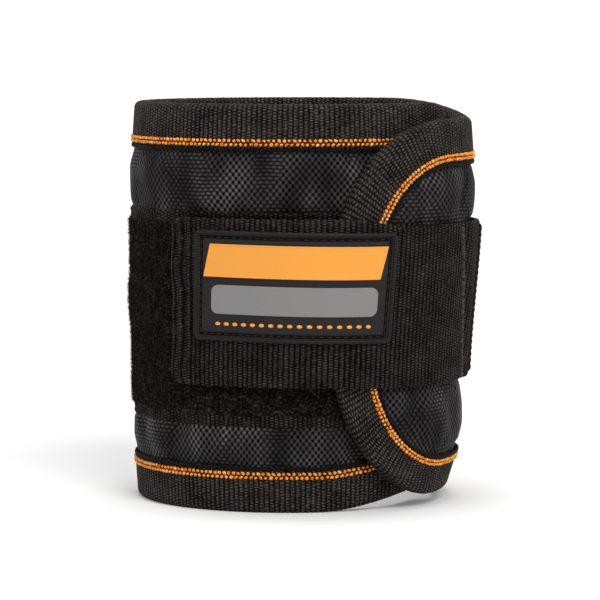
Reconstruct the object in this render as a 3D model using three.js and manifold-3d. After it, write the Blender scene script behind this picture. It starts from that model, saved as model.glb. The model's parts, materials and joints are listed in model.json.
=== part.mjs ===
// A padded magnetic wristband, closed on itself and standing on its lower edge.
// Millimetres, +Z up, the label side faces -Y.
//
// The band is one long padded strip rolled into a ring. A bearing is the angle round the
// ring from its front, in degrees, positive towards +X. The strip starts at a tucked end
// inside the right side, runs round the front, the left and the back at falling bearings,
// and closes over itself with a round-ended flap. The flap and its strap are laid out on
// the outer turn, where the same bearings run from the right side to the front.
import * as THREE from 'three';
import { mergeVertices } from 'three/addons/utils/BufferGeometryUtils.js';
import Module from 'manifold-3d';

const wasm = await Module();
wasm.setup();

// Ring and wall
const band_height = 88;
const ring_radius_upper = 37.6;
const ring_narrowing = 1.6;
const waist_upper_margin = 20;
const waist_lower_margin = 24;
const lower_lean = 1.1;
const curl_height = 13;
const curl_depth = 3.2;
const curl_mid_bearing = 88;
const curl_span_bearing = 52;
const shell_thickness = 0.4;
const foam_thickness = 1.9;
const lining_thickness = 0.4;
const ply_gap = 0.25;
const seat_gap = 0.3;
const joint_gap = 0.6;
const edge_thinning_share = 0.4;

// Edge binding and its coloured stripe
const tape_thickness = 0.4;
const tape_leg = 7;
const tape_bend = 1.2;
const ply_inset = 1.3;
const stripe_gap = 0.3;
const stripe_width = 1.7;
const stripe_height = 0.55;

// Bearings along the strip, in degrees
const inner_tip_bearing = 85;
const inner_hinge_bearing = 36;
const tuck_full_bearing = 25;
const tuck_free_bearing = -135;
const flap_hinge_bearing = 125;
const lower_lift_bearing = 8;
const lower_lift_full_bearing = 60;

// Tucked end
const inner_lower_lift = 3.2;
const inner_round = 16;
const inner_upper_squareness = 3.5;
const inner_lower_squareness = 2;

// Flap
const flap_round = 33.2;
const flap_tip_arc = 6.3;
const flap_upper_drop = 3.6;
const flap_lower_lift = 1.2;
const flap_upper_squareness = 2.45;
const flap_lower_squareness = 2.1;

// Hook and loop closure
const loop_height = 0.8;
const loop_lower_margin = 18.6;
const loop_upper_margin = 23.2;
const loop_end_bearing = -112;
const loop_tuck = 1.5;
const hook_height = 0.6;
const hook_margin = 2.5;
const hook_start_bearing = -2;

// Strap, from its sewn end at the right side to its free tip at the front left
const strap_thickness = 1.3;
const strap_rise = 1.2;
const strap_width = 38;
const strap_width_at_seam = 35;
const strap_narrow_bearing = 20;
const strap_tip_bearing = -47.2;
const strap_corner = 2;
const strap_seam_bearing = 66;
const strap_anchor_bearing = 100;
const strap_press_bearing = -30;
const strap_bend_bearing = 15;
const strap_settle_bearing = 50;
const seam_fold_width = 2;
const seam_fold_height = 0.8;

// Label
const label_mid_bearing = -2.1;
const label_width = 44.3;
const label_height = 23.7;
const label_upper_margin = 3.2;
const label_corner = 1.2;
const label_thickness = 0.4;
const label_rim_width = 0.8;
const label_rim_height = 0.5;
const panel_thickness = 0.3;
const panel_corner = 1.4;
const panel_gap = 0.9;
const upper_panel_height = 7.9;
const upper_panel_upper_margin = 2.7;
const upper_panel_side_margin = 2.15;
const lower_panel_height = 6.3;
const lower_panel_side_margin = 4.4;

// Magnets
const magnet_radius = 4.5;
const magnet_thickness = 1;
const pocket_clearance = 0.35;
const magnet_row_margin = 16;
const magnet_pitch_bearing = 25;
const band_magnet_start_bearing = 15;
const band_magnet_columns = 5;
const flap_magnet_start_bearing = 80;
const flap_magnet_columns = 2;

// Facets
const column_step = 10;
const strap_step = 6;
const magnet_sides = 10;
const inner_cap_steps = 8;
const flap_cap_steps = 11;
const cap_blunt_share = 0.5;
const halving_steps = 30;
const wall_row_shares = [-1, -0.867, -0.7, -0.4, -0.05, 0.3, 0.6, 0.867, 1];
const strap_row_shares = [-1, -0.5, 0, 0.5, 1];
const patch_row_shares = [-1, 0, 1];

// Sizes that follow from those above
const wall_thickness = shell_thickness + foam_thickness + lining_thickness + 2 * ply_gap;
const tape_stand = ply_gap + tape_thickness;
const tuck_depth = wall_thickness + 2 * tape_stand + seat_gap;
const stripe_stand = ply_gap + stripe_height;
const stripe_near_edge = tape_leg + stripe_gap;
const stripe_far_edge = stripe_near_edge + stripe_width;
const loop_stand = ply_gap + loop_height;
const hook_stand = ply_gap + hook_height;
const ring_radius_lower = ring_radius_upper - ring_narrowing;
const ring_radius_mid = (ring_radius_upper + ring_radius_lower) / 2;
const degrees_per_arc = 180 / Math.PI / ring_radius_mid;
const loop_upper_height = band_height - loop_upper_margin;
const strap_mid_height = band_height / 2 + strap_rise;
const label_left_bearing = label_mid_bearing - arc(label_width / 2);
const label_right_bearing = label_mid_bearing + arc(label_width / 2);
const label_upper_height = strap_mid_height + strap_width / 2 - label_upper_margin;
const label_lower_height = label_upper_height - label_height;

const nylon = fabricMaterial(0x2d2928, 0.85);
const lining_cloth = fabricMaterial(0x242221, 0.95);
const binding_tape = fabricMaterial(0x2c2825, 0.8);
const orange_tape = fabricMaterial(0xc9782f, 0.6);
const loop_pile = fabricMaterial(0x1a1513, 1);
const hook_nylon = fabricMaterial(0x1c1a19, 0.6);
const webbing = fabricMaterial(0x231f1d, 0.75);
const label_rubber = fabricMaterial(0x323030, 0.6);
const label_orange = fabricMaterial(0xfdac4a, 0.5);
const label_grey = fabricMaterial(0x8d8c8a, 0.5);
const foam = fabricMaterial(0x55524f, 0.95);
const magnet_metal = new THREE.MeshStandardMaterial({ color: 0xb9bbbd, roughness: 0.3, metalness: 1 });

function fabricMaterial(color, roughness) {
  return new THREE.MeshStandardMaterial({ color, roughness, metalness: 0 });
}

function lerp(a, b, share) {
  return a + (b - a) * share;
}

function smooth(share) {
  const t = Math.min(Math.max(share, 0), 1);
  return t * t * (3 - 2 * t);
}

function arc(length) {
  return length * degrees_per_arc;
}

// The ring is wider above its waist than below it, and its lower part leans to -X. At its
// right side the lower edge curls inwards.
function waistShare(height) {
  const from = waist_lower_margin;
  const to = band_height - waist_upper_margin;
  return smooth((height - from) / (to - from));
}

function curlShare(bearing) {
  const away = THREE.MathUtils.euclideanModulo(bearing - curl_mid_bearing + 180, 360) - 180;
  return smooth(1 - Math.abs(away) / curl_span_bearing);
}

function ringRadius(bearing, height) {
  const low = Math.max(1 - height / curl_height, 0);
  const curl = curl_depth * curlShare(bearing) * low;
  return lerp(ring_radius_lower, ring_radius_upper, waistShare(height)) - curl;
}

function ringPoint(bearing, height, radius) {
  const turn = THREE.MathUtils.degToRad(bearing);
  const lean = lower_lean * (1 - waistShare(height));
  return new THREE.Vector3(radius * Math.sin(turn) - lean, -radius * Math.cos(turn), height);
}

// How far the strip has sunk under the flap.
function tuck(bearing) {
  return tuck_depth * smooth((bearing - tuck_free_bearing) / (tuck_full_bearing - tuck_free_bearing));
}

// The padding is pressed thinner towards a bound edge.
function pressed(stand, edge) {
  const middle = -wall_thickness / 2;
  const keep = 1 - edge_thinning_share * (1 - Math.min(edge / tape_leg, 1));
  return middle + (stand - middle) * keep;
}

// A sheet is a stretch of the strip: its two ends, its edges at each bearing, its depth
// under the outer turn, and a rounded cap where its end is free.
const main_sheet = {
  start: inner_hinge_bearing - arc(joint_gap / 2),
  end: flap_hinge_bearing - 360 + arc(joint_gap / 2),
  sink: tuck,
  lower: (bearing) => wallLowerEdge(bearing),
  upper: () => band_height,
};
const inner_sheet = {
  start: inner_hinge_bearing + arc(joint_gap / 2),
  end: inner_tip_bearing - arc(inner_round),
  sink: tuck,
  lower: (bearing) => wallLowerEdge(bearing),
  upper: () => band_height,
  cap: {
    length: inner_round,
    turn: 1,
    steps: inner_cap_steps,
    upper: inner_upper_squareness,
    lower: inner_lower_squareness,
  },
};
const flap_tip_bearing = arc(flap_tip_arc);
const flap_cap_bearing = flap_tip_bearing + arc(flap_round);
const flap_sheet = {
  start: flap_hinge_bearing - arc(joint_gap / 2),
  end: flap_cap_bearing,
  sink: () => 0,
  lower: (bearing) => flap_lower_lift * flapTaper(bearing),
  upper: (bearing) => band_height - flap_upper_drop * flapTaper(bearing),
  cap: {
    length: flap_round,
    turn: -1,
    steps: flap_cap_steps,
    upper: flap_upper_squareness,
    lower: flap_lower_squareness,
  },
};

function wallLowerEdge(bearing) {
  const share = (bearing - lower_lift_bearing) / (lower_lift_full_bearing - lower_lift_bearing);
  return inner_lower_lift * smooth(share);
}

function flapTaper(bearing) {
  return smooth((flap_hinge_bearing - bearing) / (flap_hinge_bearing - flap_cap_bearing));
}

function sheetMiddle(sheet, bearing) {
  return (sheet.upper(bearing) + sheet.lower(bearing)) / 2;
}

function sheetHalf(sheet, bearing) {
  return (sheet.upper(bearing) - sheet.lower(bearing)) / 2;
}

function sheetPoint(sheet, bearing, height, stand, edge) {
  const radius = ringRadius(bearing, height) - sheet.sink(bearing) + pressed(stand, edge);
  return ringPoint(bearing, height, radius);
}

// The cap's outline: how far along the cap each step lies, and how high it reaches there.
// The step before the tip is where the plies end in a short blunt edge.
function capAlongShares(sheet) {
  const turns = [...Array(sheet.cap.steps - 1).keys()].map((step) => step + 1);
  turns.push(sheet.cap.steps - cap_blunt_share, sheet.cap.steps);
  return turns.map((turn) => Math.sin((turn / sheet.cap.steps) * (Math.PI / 2)));
}

function capRiseShare(along, squareness) {
  return (1 - along ** squareness) ** (1 / squareness);
}

// How far in from the sheet's bound edge a place is. In the cap this is the inset whose own
// outline passes through the place, found by halving.
function edgeDistance(sheet, bearing, height) {
  const rise = height - sheetMiddle(sheet, bearing);
  const half = sheetHalf(sheet, bearing);
  const past = sheet.cap ? (bearing - sheet.end) * sheet.cap.turn : 0;
  if (past <= 0) {
    return half - Math.abs(rise);
  }
  const along = past / degrees_per_arc;
  const squareness = rise > 0 ? sheet.cap.upper : sheet.cap.lower;
  let near = 0;
  let far = Math.min(sheet.cap.length, half);
  for (let i = 0; i < halving_steps; i += 1) {
    const edge = (near + far) / 2;
    const alongPower = (along / (sheet.cap.length - edge)) ** squareness;
    const risePower = (Math.abs(rise) / (half - edge)) ** squareness;
    if (alongPower + risePower < 1) {
      near = edge;
    } else {
      far = edge;
    }
  }
  return near;
}

function steps(from, to, step) {
  return Math.max(Math.ceil(Math.abs(to - from) / step), 1);
}

// Joins two matching grids of points, an outer and an inner one, into a closed body.
function slabGeometry(outer, inner) {
  const rows = outer.length;
  const columns = outer[0].length;
  const points = [...outer.flat(), ...inner.flat()];
  const far = rows * columns;
  const index = [];
  const quad = (a, b, c, d) => index.push(a, b, c, a, c, d);
  for (let r = 0; r + 1 < rows; r += 1) {
    for (let c = 0; c + 1 < columns; c += 1) {
      const a = r * columns + c;
      quad(a, a + 1, a + 1 + columns, a + columns);
      quad(far + a, far + a + columns, far + a + 1 + columns, far + a + 1);
    }
  }
  const rim = [];
  for (let c = 0; c < columns; c += 1) {
    rim.push(c);
  }
  for (let r = 1; r < rows; r += 1) {
    rim.push(r * columns + columns - 1);
  }
  for (let c = columns - 2; c >= 0; c -= 1) {
    rim.push((rows - 1) * columns + c);
  }
  for (let r = rows - 2; r > 0; r -= 1) {
    rim.push(r * columns);
  }
  rim.forEach((a, i) => {
    const b = rim[(i + 1) % rim.length];
    quad(a, far + a, far + b, b);
  });
  return closedGeometry(points, index);
}

// Carries a closed section along a path of frames; each frame maps a section point to space.
function sweepGeometry(frames, outline) {
  const section = THREE.ShapeUtils.isClockWise(outline) ? [...outline].reverse() : outline;
  const count = section.length;
  const points = frames.flatMap((frame) => section.map((place) => frame(place.x, place.y)));
  const index = [];
  for (let f = 0; f + 1 < frames.length; f += 1) {
    for (let s = 0; s < count; s += 1) {
      const a = f * count + s;
      const b = f * count + ((s + 1) % count);
      index.push(a, b, b + count, a, b + count, a + count);
    }
  }
  const last = (frames.length - 1) * count;
  THREE.ShapeUtils.triangulateShape(section, []).forEach(([a, b, c]) => {
    index.push(a, c, b, last + a, last + b, last + c);
  });
  return closedGeometry(points, index);
}

// Builds the geometry and turns its faces outwards.
function closedGeometry(points, index) {
  const volume = (list) => {
    let total = 0;
    for (let i = 0; i < list.length; i += 3) {
      const a = points[list[i]];
      const b = points[list[i + 1]];
      const c = points[list[i + 2]];
      total += a.dot(b.clone().cross(c));
    }
    return total;
  };
  if (volume(index) < 0) {
    for (let i = 0; i < index.length; i += 3) {
      [index[i], index[i + 1]] = [index[i + 1], index[i]];
    }
  }
  const geometry = new THREE.BufferGeometry().setFromPoints(points);
  geometry.setIndex(index);
  geometry.computeVertexNormals();
  return geometry;
}

function mesh(name, geometry, material) {
  const piece = new THREE.Mesh(geometry, material);
  piece.name = name;
  return piece;
}

function straightBearings(sheet) {
  const count = steps(sheet.start, sheet.end, column_step);
  return [...Array(count + 1).keys()].map((c) => lerp(sheet.start, sheet.end, c / count));
}

// Columns of places that fill a sheet inside an inset from its bound edges. The last column
// of a cap stands just short of the tip, as a blunt end.
function sheetColumns(sheet, inset) {
  const column = (bearing, upper, lower) => wall_row_shares.map((share) => {
    const rise = share * (share > 0 ? upper : lower) * (sheetHalf(sheet, bearing) - inset);
    return { bearing, height: sheetMiddle(sheet, bearing) + rise };
  });
  const columns = straightBearings(sheet).map((bearing) => column(bearing, 1, 1));
  if (sheet.cap) {
    capAlongShares(sheet).slice(0, -1).forEach((along) => {
      const bearing = sheet.end + sheet.cap.turn * arc((sheet.cap.length - inset) * along);
      const upper = capRiseShare(along, sheet.cap.upper);
      columns.push(column(bearing, upper, capRiseShare(along, sheet.cap.lower)));
    });
  }
  return columns;
}

function plyGeometry(sheet, outerStand, innerStand) {
  const columns = sheetColumns(sheet, ply_inset);
  const at = (stand) => columns.map((column) => column.map(({ bearing, height }) => (
    sheetPoint(sheet, bearing, height, stand, edgeDistance(sheet, bearing, height)))));
  return slabGeometry(at(outerStand), at(innerStand));
}

// Frames along a sheet's bound edge. A frame's x is the distance in from the edge and its
// y the height above the outer face.
function straightEdgeFrames(sheet, upper) {
  return straightBearings(sheet).map((bearing) => (edge, stand) => {
    const height = upper ? sheet.upper(bearing) - edge : sheet.lower(bearing) + edge;
    return sheetPoint(sheet, bearing, height, stand, edge);
  });
}

function capEdgeFrames(sheet, upper) {
  return capAlongShares(sheet).map((along) => {
    const rise = upper ? capRiseShare(along, sheet.cap.upper) : -capRiseShare(along, sheet.cap.lower);
    return (edge, stand) => {
      const bearing = sheet.end + sheet.cap.turn * arc((sheet.cap.length - edge) * along);
      const height = sheetMiddle(sheet, bearing) + (sheetHalf(sheet, bearing) - edge) * rise;
      return sheetPoint(sheet, bearing, height, stand, edge);
    };
  });
}

function aroundFrames(sheet) {
  return [
    ...straightEdgeFrames(sheet, false),
    ...capEdgeFrames(sheet, false),
    ...capEdgeFrames(sheet, true).reverse().slice(1),
    ...straightEdgeFrames(sheet, true).reverse(),
  ];
}

// The binding folds over the edge: a leg on each face and a flat fold between them.
function bindingSection(curved) {
  const outer = tape_stand;
  const inner = -wall_thickness - tape_stand;
  const middles = curved ? [(tape_leg + tape_bend) / 2] : [];
  const leg = (from, to, stand) => [from, ...middles, to].map((edge) => new THREE.Vector2(edge, stand));
  return [
    ...leg(tape_leg, tape_bend, outer),
    new THREE.Vector2(0, outer - tape_bend),
    new THREE.Vector2(0, inner + tape_bend),
    ...leg(tape_bend, tape_leg, inner),
    ...leg(tape_leg, tape_bend, inner + tape_thickness),
    new THREE.Vector2(tape_thickness, inner + tape_bend),
    new THREE.Vector2(tape_thickness, outer - tape_bend),
    ...leg(tape_bend, tape_leg, ply_gap),
  ];
}

function capBinding(sheet) {
  return sweepGeometry(aroundFrames(sheet), bindingSection(true));
}

function stripeSection() {
  return [
    new THREE.Vector2(stripe_near_edge, ply_gap),
    new THREE.Vector2(stripe_near_edge, stripe_stand),
    new THREE.Vector2(stripe_far_edge, stripe_stand),
    new THREE.Vector2(stripe_far_edge, ply_gap),
  ];
}

// One magnet: a flat disc that faces out through the wall.
function magnetDisc(radius, thickness) {
  const geometry = new THREE.CylinderGeometry(radius, radius, thickness, magnet_sides);
  return geometry.rotateX(Math.PI / 2).rotateZ(Math.PI / magnet_sides);
}

function magnetPlaces(sheet, startBearing, columns) {
  const places = [];
  for (let column = 0; column < columns; column += 1) {
    const bearing = startBearing + column * magnet_pitch_bearing * Math.sign(sheet.end - sheet.start);
    const rows = [
      sheet.lower(bearing) + magnet_row_margin,
      sheetMiddle(sheet, bearing),
      sheet.upper(bearing) - magnet_row_margin,
    ];
    rows.forEach((height, row) => {
      const at = (alongArc, rise) => sheetPoint(
        sheet, bearing + arc(alongArc), height + rise, -wall_thickness / 2, tape_leg);
      const along = at(magnet_radius, 0).sub(at(-magnet_radius, 0));
      const up = at(0, magnet_radius).sub(at(0, -magnet_radius));
      places.push({ centre: at(0, 0), normal: along.cross(up).normalize(), column, row });
    });
  }
  return places;
}

function placeDisc(piece, place) {
  piece.position.copy(place.centre);
  piece.lookAt(place.centre.clone().add(place.normal));
  return piece;
}

function magnets(prefix, places) {
  return places.map((place) => {
    const name = `${prefix}_magnet_${place.column + 1}_${place.row + 1}`;
    return placeDisc(mesh(name, magnetDisc(magnet_radius, magnet_thickness), magnet_metal), place);
  });
}

function solid(geometry) {
  const bare = geometry.clone();
  bare.deleteAttribute('normal');
  bare.deleteAttribute('uv');
  const merged = mergeVertices(bare);
  return new wasm.Manifold(new wasm.Mesh({
    numProp: 3,
    vertProperties: new Float32Array(merged.attributes.position.array),
    triVerts: new Uint32Array(merged.index.array),
  }));
}

function meshGeometry(body) {
  const result = body.getMesh();
  const geometry = new THREE.BufferGeometry();
  geometry.setAttribute('position', new THREE.BufferAttribute(result.vertProperties, 3));
  geometry.setIndex(new THREE.BufferAttribute(result.triVerts, 1));
  geometry.computeVertexNormals();
  return geometry;
}

// The foam core, with a through pocket for each magnet.
function foamGeometry(sheet, places) {
  const outer = -shell_thickness - ply_gap;
  let body = solid(plyGeometry(sheet, outer, outer - foam_thickness));
  places.forEach((place) => {
    const cutter = mesh('', magnetDisc(magnet_radius + pocket_clearance, 2 * wall_thickness), foam);
    placeDisc(cutter, place).updateMatrix();
    body = body.subtract(solid(cutter.geometry.applyMatrix4(cutter.matrix)));
  });
  return meshGeometry(body);
}

// The plies that every part of the strip has: outer shell, foam core, lining and magnets.
function plies(prefix, sheet, places) {
  const lining = plyGeometry(sheet, lining_thickness - wall_thickness, -wall_thickness);
  return [
    mesh(`${prefix}_shell`, plyGeometry(sheet, 0, -shell_thickness), nylon),
    mesh(`${prefix}_foam_core`, foamGeometry(sheet, places), foam),
    mesh(`${prefix}_lining`, lining, lining_cloth),
    ...magnets(prefix, places),
  ];
}

// The loop patch on the outside of the main band, with its end hollowed to follow the flap.
// It shares the columns and rows of the shell that it is sewn to.
function loopPatch() {
  const columns = straightBearings(main_sheet)
    .filter((bearing) => bearing < flap_tip_bearing && bearing > loop_end_bearing);
  const heights = wall_row_shares
    .map((share) => (1 + share) / 2 * band_height)
    .filter((height) => height > loop_lower_margin && height < loop_upper_height);
  const rows = [loop_lower_margin, ...heights, loop_upper_height].map((height) => {
    const start = flapEdgeBearing(height) + arc(loop_tuck);
    return [start, (start + columns[0]) / 2, ...columns, loop_end_bearing]
      .map((bearing) => ({ bearing, height }));
  });
  const at = (stand) => rows.map((row) => row.map(({ bearing, height }) => (
    sheetPoint(main_sheet, bearing, height, stand, tape_leg))));
  return slabGeometry(at(loop_stand), at(ply_gap));
}

// The bearing of the flap's round edge at a height.
function flapEdgeBearing(height) {
  const rise = Math.abs(height - sheetMiddle(flap_sheet, flap_cap_bearing));
  const share = rise / sheetHalf(flap_sheet, flap_cap_bearing);
  const squareness = height > sheetMiddle(flap_sheet, flap_cap_bearing)
    ? flap_upper_squareness : flap_lower_squareness;
  return flap_cap_bearing - arc(flap_round) * (1 - share ** squareness) ** (1 / squareness);
}

// The strap's inner face above the ring: close over the flap and its stripe, then bending
// down past the flap's tip until it is pressed along the loop patch.
function strapRise(bearing) {
  const settle = (strap_settle_bearing - bearing) / (strap_settle_bearing - strap_narrow_bearing);
  const overFlap = seat_gap + stripe_stand * smooth(settle);
  const overLoop = loop_stand + hook_stand + seat_gap - tuck(bearing);
  const bend = (bearing - strap_press_bearing) / (strap_bend_bearing - strap_press_bearing);
  return lerp(overLoop, overFlap, smooth(bend));
}

function strapPoint(bearing, height, stand) {
  return ringPoint(bearing, height, ringRadius(bearing, height) + strapRise(bearing) + stand);
}

function strapHalf(bearing) {
  const share = (bearing - strap_narrow_bearing) / (strap_seam_bearing - strap_narrow_bearing);
  return lerp(strap_width, strap_width_at_seam, smooth(share)) / 2;
}

// The bearings at which every piece of the strap has its facets.
function strapBearings(from, to) {
  const inside = [];
  for (let bearing = strap_tip_bearing; bearing < to - strap_step / 2; bearing += strap_step) {
    if (bearing > from + strap_step / 2) {
      inside.push(bearing);
    }
  }
  return [from, ...inside, to];
}

// A patch that lies on the strap, with its corners cut when corner is not zero.
function strapPatch(from, to, lower, upper, innerStand, outerStand, corner = 0) {
  const short = arc(corner);
  const inside = strapBearings(from + short, to - short);
  const bearings = corner > 0 ? [from, ...inside, to] : inside;
  const rows = patch_row_shares.map((share) => bearings.map((bearing, c) => {
    const cut = corner > 0 && (c === 0 || c === bearings.length - 1) ? corner : 0;
    return { bearing, height: lerp(lower + cut, upper - cut, (share + 1) / 2) };
  }));
  const at = (stand) => rows.map((row) => row.map(({ bearing, height }) => (
    strapPoint(bearing, height, stand))));
  return slabGeometry(at(outerStand), at(innerStand));
}

// The free tongue of webbing. Only its tip has cut corners.
function strapWebbing() {
  const free = strap_seam_bearing - arc(joint_gap / 2);
  const bearings = [strap_tip_bearing, ...strapBearings(strap_tip_bearing + arc(strap_corner), free)];
  const rows = strap_row_shares.map((share) => bearings.map((bearing, c) => {
    const half = strapHalf(bearing) - (c === 0 ? strap_corner : 0);
    return { bearing, height: strap_mid_height + half * share };
  }));
  const at = (stand) => rows.map((row) => row.map(({ bearing, height }) => (
    strapPoint(bearing, height, stand))));
  return slabGeometry(at(strap_thickness), at(0));
}

// The sewn end of the webbing, with its folded edge standing as a ridge along the seam.
function strapAnchor() {
  const near = strap_seam_bearing + arc(joint_gap / 2);
  const fold = near + arc(seam_fold_width);
  const top = strap_thickness + seam_fold_height;
  const profile = [
    { bearing: near, stand: 0 },
    { bearing: near, stand: top },
    { bearing: fold, stand: top },
    { bearing: fold, stand: strap_thickness },
  ];
  const count = steps(fold, strap_anchor_bearing, column_step);
  for (let c = 1; c <= count; c += 1) {
    profile.push({ bearing: lerp(fold, strap_anchor_bearing, c / count), stand: strap_thickness });
  }
  for (let c = count; c > 0; c -= 1) {
    profile.push({ bearing: lerp(fold, strap_anchor_bearing, c / count), stand: 0 });
  }
  const section = profile
    .map(({ bearing, stand }) => new THREE.Vector2(bearing / degrees_per_arc, stand));
  const frames = strap_row_shares.map((share) => (along, stand) => {
    const bearing = arc(along);
    return strapPoint(bearing, strap_mid_height + strapHalf(bearing) * share, stand);
  });
  return sweepGeometry(frames, section);
}

// The rim that stands round the label's edge: a ring with cut corners.
function labelRim() {
  const inner = strap_thickness + label_thickness + 2 * ply_gap;
  const outer = inner + label_rim_height;
  const ring = (inset) => {
    const left = label_left_bearing + arc(inset);
    const right = label_right_bearing - arc(inset);
    const low = label_lower_height + inset;
    const high = label_upper_height - inset;
    const cut = label_corner;
    const along = strapBearings(label_left_bearing + arc(label_rim_width + cut),
      label_right_bearing - arc(label_rim_width + cut));
    const places = along.map((bearing) => [bearing, low]);
    places.push([right, low + cut], [right, high - cut]);
    places.push(...[...along].reverse().map((bearing) => [bearing, high]));
    places.push([left, high - cut], [left, low + cut]);
    return places;
  };
  const outside = ring(0);
  const inside = ring(label_rim_width);
  const layers = [[outside, inner], [outside, outer], [inside, outer], [inside, inner]]
    .map(([places, stand]) => places.map(([bearing, height]) => strapPoint(bearing, height, stand)));
  const count = outside.length;
  const index = [];
  layers.forEach((layer, l) => {
    const next = (l + 1) % layers.length;
    for (let i = 0; i < count; i += 1) {
      const j = (i + 1) % count;
      index.push(l * count + i, l * count + j, next * count + j);
      index.push(l * count + i, next * count + j, next * count + i);
    }
  });
  return closedGeometry(layers.flat(), index);
}

// A thin panel on the label, centred between its ends.
function labelPanel(height, sideMargin, drop) {
  const half = arc(label_width / 2 - sideMargin);
  const base = strap_thickness + label_thickness + 2 * ply_gap;
  const upper = label_upper_height - drop;
  return strapPatch(label_mid_bearing - half, label_mid_bearing + half, upper - height, upper,
    base, base + panel_thickness, panel_corner);
}

function labelBase() {
  const base = strap_thickness + ply_gap;
  return strapPatch(label_left_bearing, label_right_bearing, label_lower_height, label_upper_height,
    base, base + label_thickness, label_corner);
}

function hookPatch() {
  const half = strap_width / 2 - hook_margin;
  return strapPatch(strap_tip_bearing + arc(hook_margin), hook_start_bearing, strap_mid_height - half,
    strap_mid_height + half, -hook_stand, -ply_gap);
}

function mainBand() {
  const places = magnetPlaces(main_sheet, band_magnet_start_bearing, band_magnet_columns);
  const lower = straightEdgeFrames(main_sheet, false);
  const upper = straightEdgeFrames(main_sheet, true);
  const group = new THREE.Group();
  group.add(
    ...plies('band', main_sheet, places),
    mesh('band_lower_binding', sweepGeometry(lower, bindingSection(false)), binding_tape),
    mesh('band_upper_binding', sweepGeometry(upper, bindingSection(false)), binding_tape),
    mesh('band_lower_stripe', sweepGeometry(lower, stripeSection()), orange_tape),
    mesh('band_upper_stripe', sweepGeometry(upper, stripeSection()), orange_tape),
    mesh('loop_patch', loopPatch(), loop_pile),
  );
  return group;
}

function innerEnd() {
  const group = new THREE.Group();
  group.add(
    ...plies('inner_end', inner_sheet, []),
    mesh('inner_end_binding', capBinding(inner_sheet), binding_tape),
  );
  return group;
}

function flap() {
  const places = magnetPlaces(flap_sheet, flap_magnet_start_bearing, flap_magnet_columns);
  const group = new THREE.Group();
  group.add(
    ...plies('flap', flap_sheet, places),
    mesh('flap_binding', capBinding(flap_sheet), binding_tape),
    mesh('flap_stripe', sweepGeometry(aroundFrames(flap_sheet), stripeSection()), orange_tape),
    mesh('strap_anchor', strapAnchor(), webbing),
  );
  return group;
}

function strap() {
  const upper_panel = labelPanel(upper_panel_height, upper_panel_side_margin, upper_panel_upper_margin);
  const lower_panel = labelPanel(lower_panel_height, lower_panel_side_margin,
    upper_panel_upper_margin + upper_panel_height + panel_gap);
  const group = new THREE.Group();
  group.add(
    mesh('strap_webbing', strapWebbing(), webbing),
    mesh('hook_patch', hookPatch(), hook_nylon),
    mesh('label_base', labelBase(), label_rubber),
    mesh('label_rim', labelRim(), label_rubber),
    mesh('label_upper_panel', upper_panel, label_orange),
    mesh('label_lower_panel', lower_panel, label_grey),
  );
  return group;
}

// The origin is under the middle of the closed band, on the surface that it stands on.
const wristband = new THREE.Group();
wristband.add(mainBand(), innerEnd(), flap(), strap());
wristband.updateMatrixWorld(true);
const extent = new THREE.Box3().setFromObject(wristband, true);
const middle = extent.getCenter(new THREE.Vector3());
wristband.position.set(-middle.x, -middle.y, -extent.min.z);
wristband.updateMatrixWorld(true);

export default wristband;
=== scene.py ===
"""A padded magnetic wristband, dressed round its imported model.

Sizes are in millimetres and degrees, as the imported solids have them, and become metres
where a mesh is made. A bearing is the angle round the ring from its front, positive
towards +X. A turn is the bearing counted along the strip without a jump: it falls from the
tucked end through the front, the left and the back to the flap's tip.
"""

import json
import math

import bpy
import numpy as np
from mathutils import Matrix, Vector


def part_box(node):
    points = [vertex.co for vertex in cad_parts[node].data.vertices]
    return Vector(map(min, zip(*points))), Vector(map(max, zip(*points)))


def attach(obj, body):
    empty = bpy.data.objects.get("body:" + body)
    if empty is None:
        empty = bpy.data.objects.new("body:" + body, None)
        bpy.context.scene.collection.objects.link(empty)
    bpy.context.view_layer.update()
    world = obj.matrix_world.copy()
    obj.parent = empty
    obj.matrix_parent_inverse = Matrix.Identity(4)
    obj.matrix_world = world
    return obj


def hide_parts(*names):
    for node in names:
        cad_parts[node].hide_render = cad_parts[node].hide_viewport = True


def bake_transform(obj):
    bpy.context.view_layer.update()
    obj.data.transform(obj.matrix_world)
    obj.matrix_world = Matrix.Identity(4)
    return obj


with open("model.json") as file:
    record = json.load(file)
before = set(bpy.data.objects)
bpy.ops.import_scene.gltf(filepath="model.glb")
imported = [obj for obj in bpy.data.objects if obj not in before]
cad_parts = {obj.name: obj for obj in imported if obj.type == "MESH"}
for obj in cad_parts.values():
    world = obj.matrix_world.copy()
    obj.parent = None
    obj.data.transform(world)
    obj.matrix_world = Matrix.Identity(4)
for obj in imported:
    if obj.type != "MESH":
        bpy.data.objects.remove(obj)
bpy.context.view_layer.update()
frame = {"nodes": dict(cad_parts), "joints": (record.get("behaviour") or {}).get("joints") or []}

MM = 0.001

# Ring and wall
BAND_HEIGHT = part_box("band_upper_binding")[1].z / MM
RING_RADIUS_UPPER = 37.6
RING_RADIUS_LOWER = 36
RING_RADIUS_MID = (RING_RADIUS_UPPER + RING_RADIUS_LOWER) / 2
FLAP_HINGE_RADIUS = 38.55
WAIST_UPPER_MARGIN = 20
WAIST_LOWER_MARGIN = 24
LOWER_LEAN = 1.1
CURL_HEIGHT = 13
CURL_DEPTH = 3.2
CURL_MID_BEARING = 88
CURL_SPAN_BEARING = 52
WALL = 3.2
PADDING = 2.75
LINING = 0.4
PLY_INSET = 1.3
PLY_GAP = 0.25
TUCK_DEPTH = 4.8
TUCK_FULL_BEARING = 25
TUCK_FREE_BEARING = -135
EDGE_THINNING = 0.2
HALVINGS = 24

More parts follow.
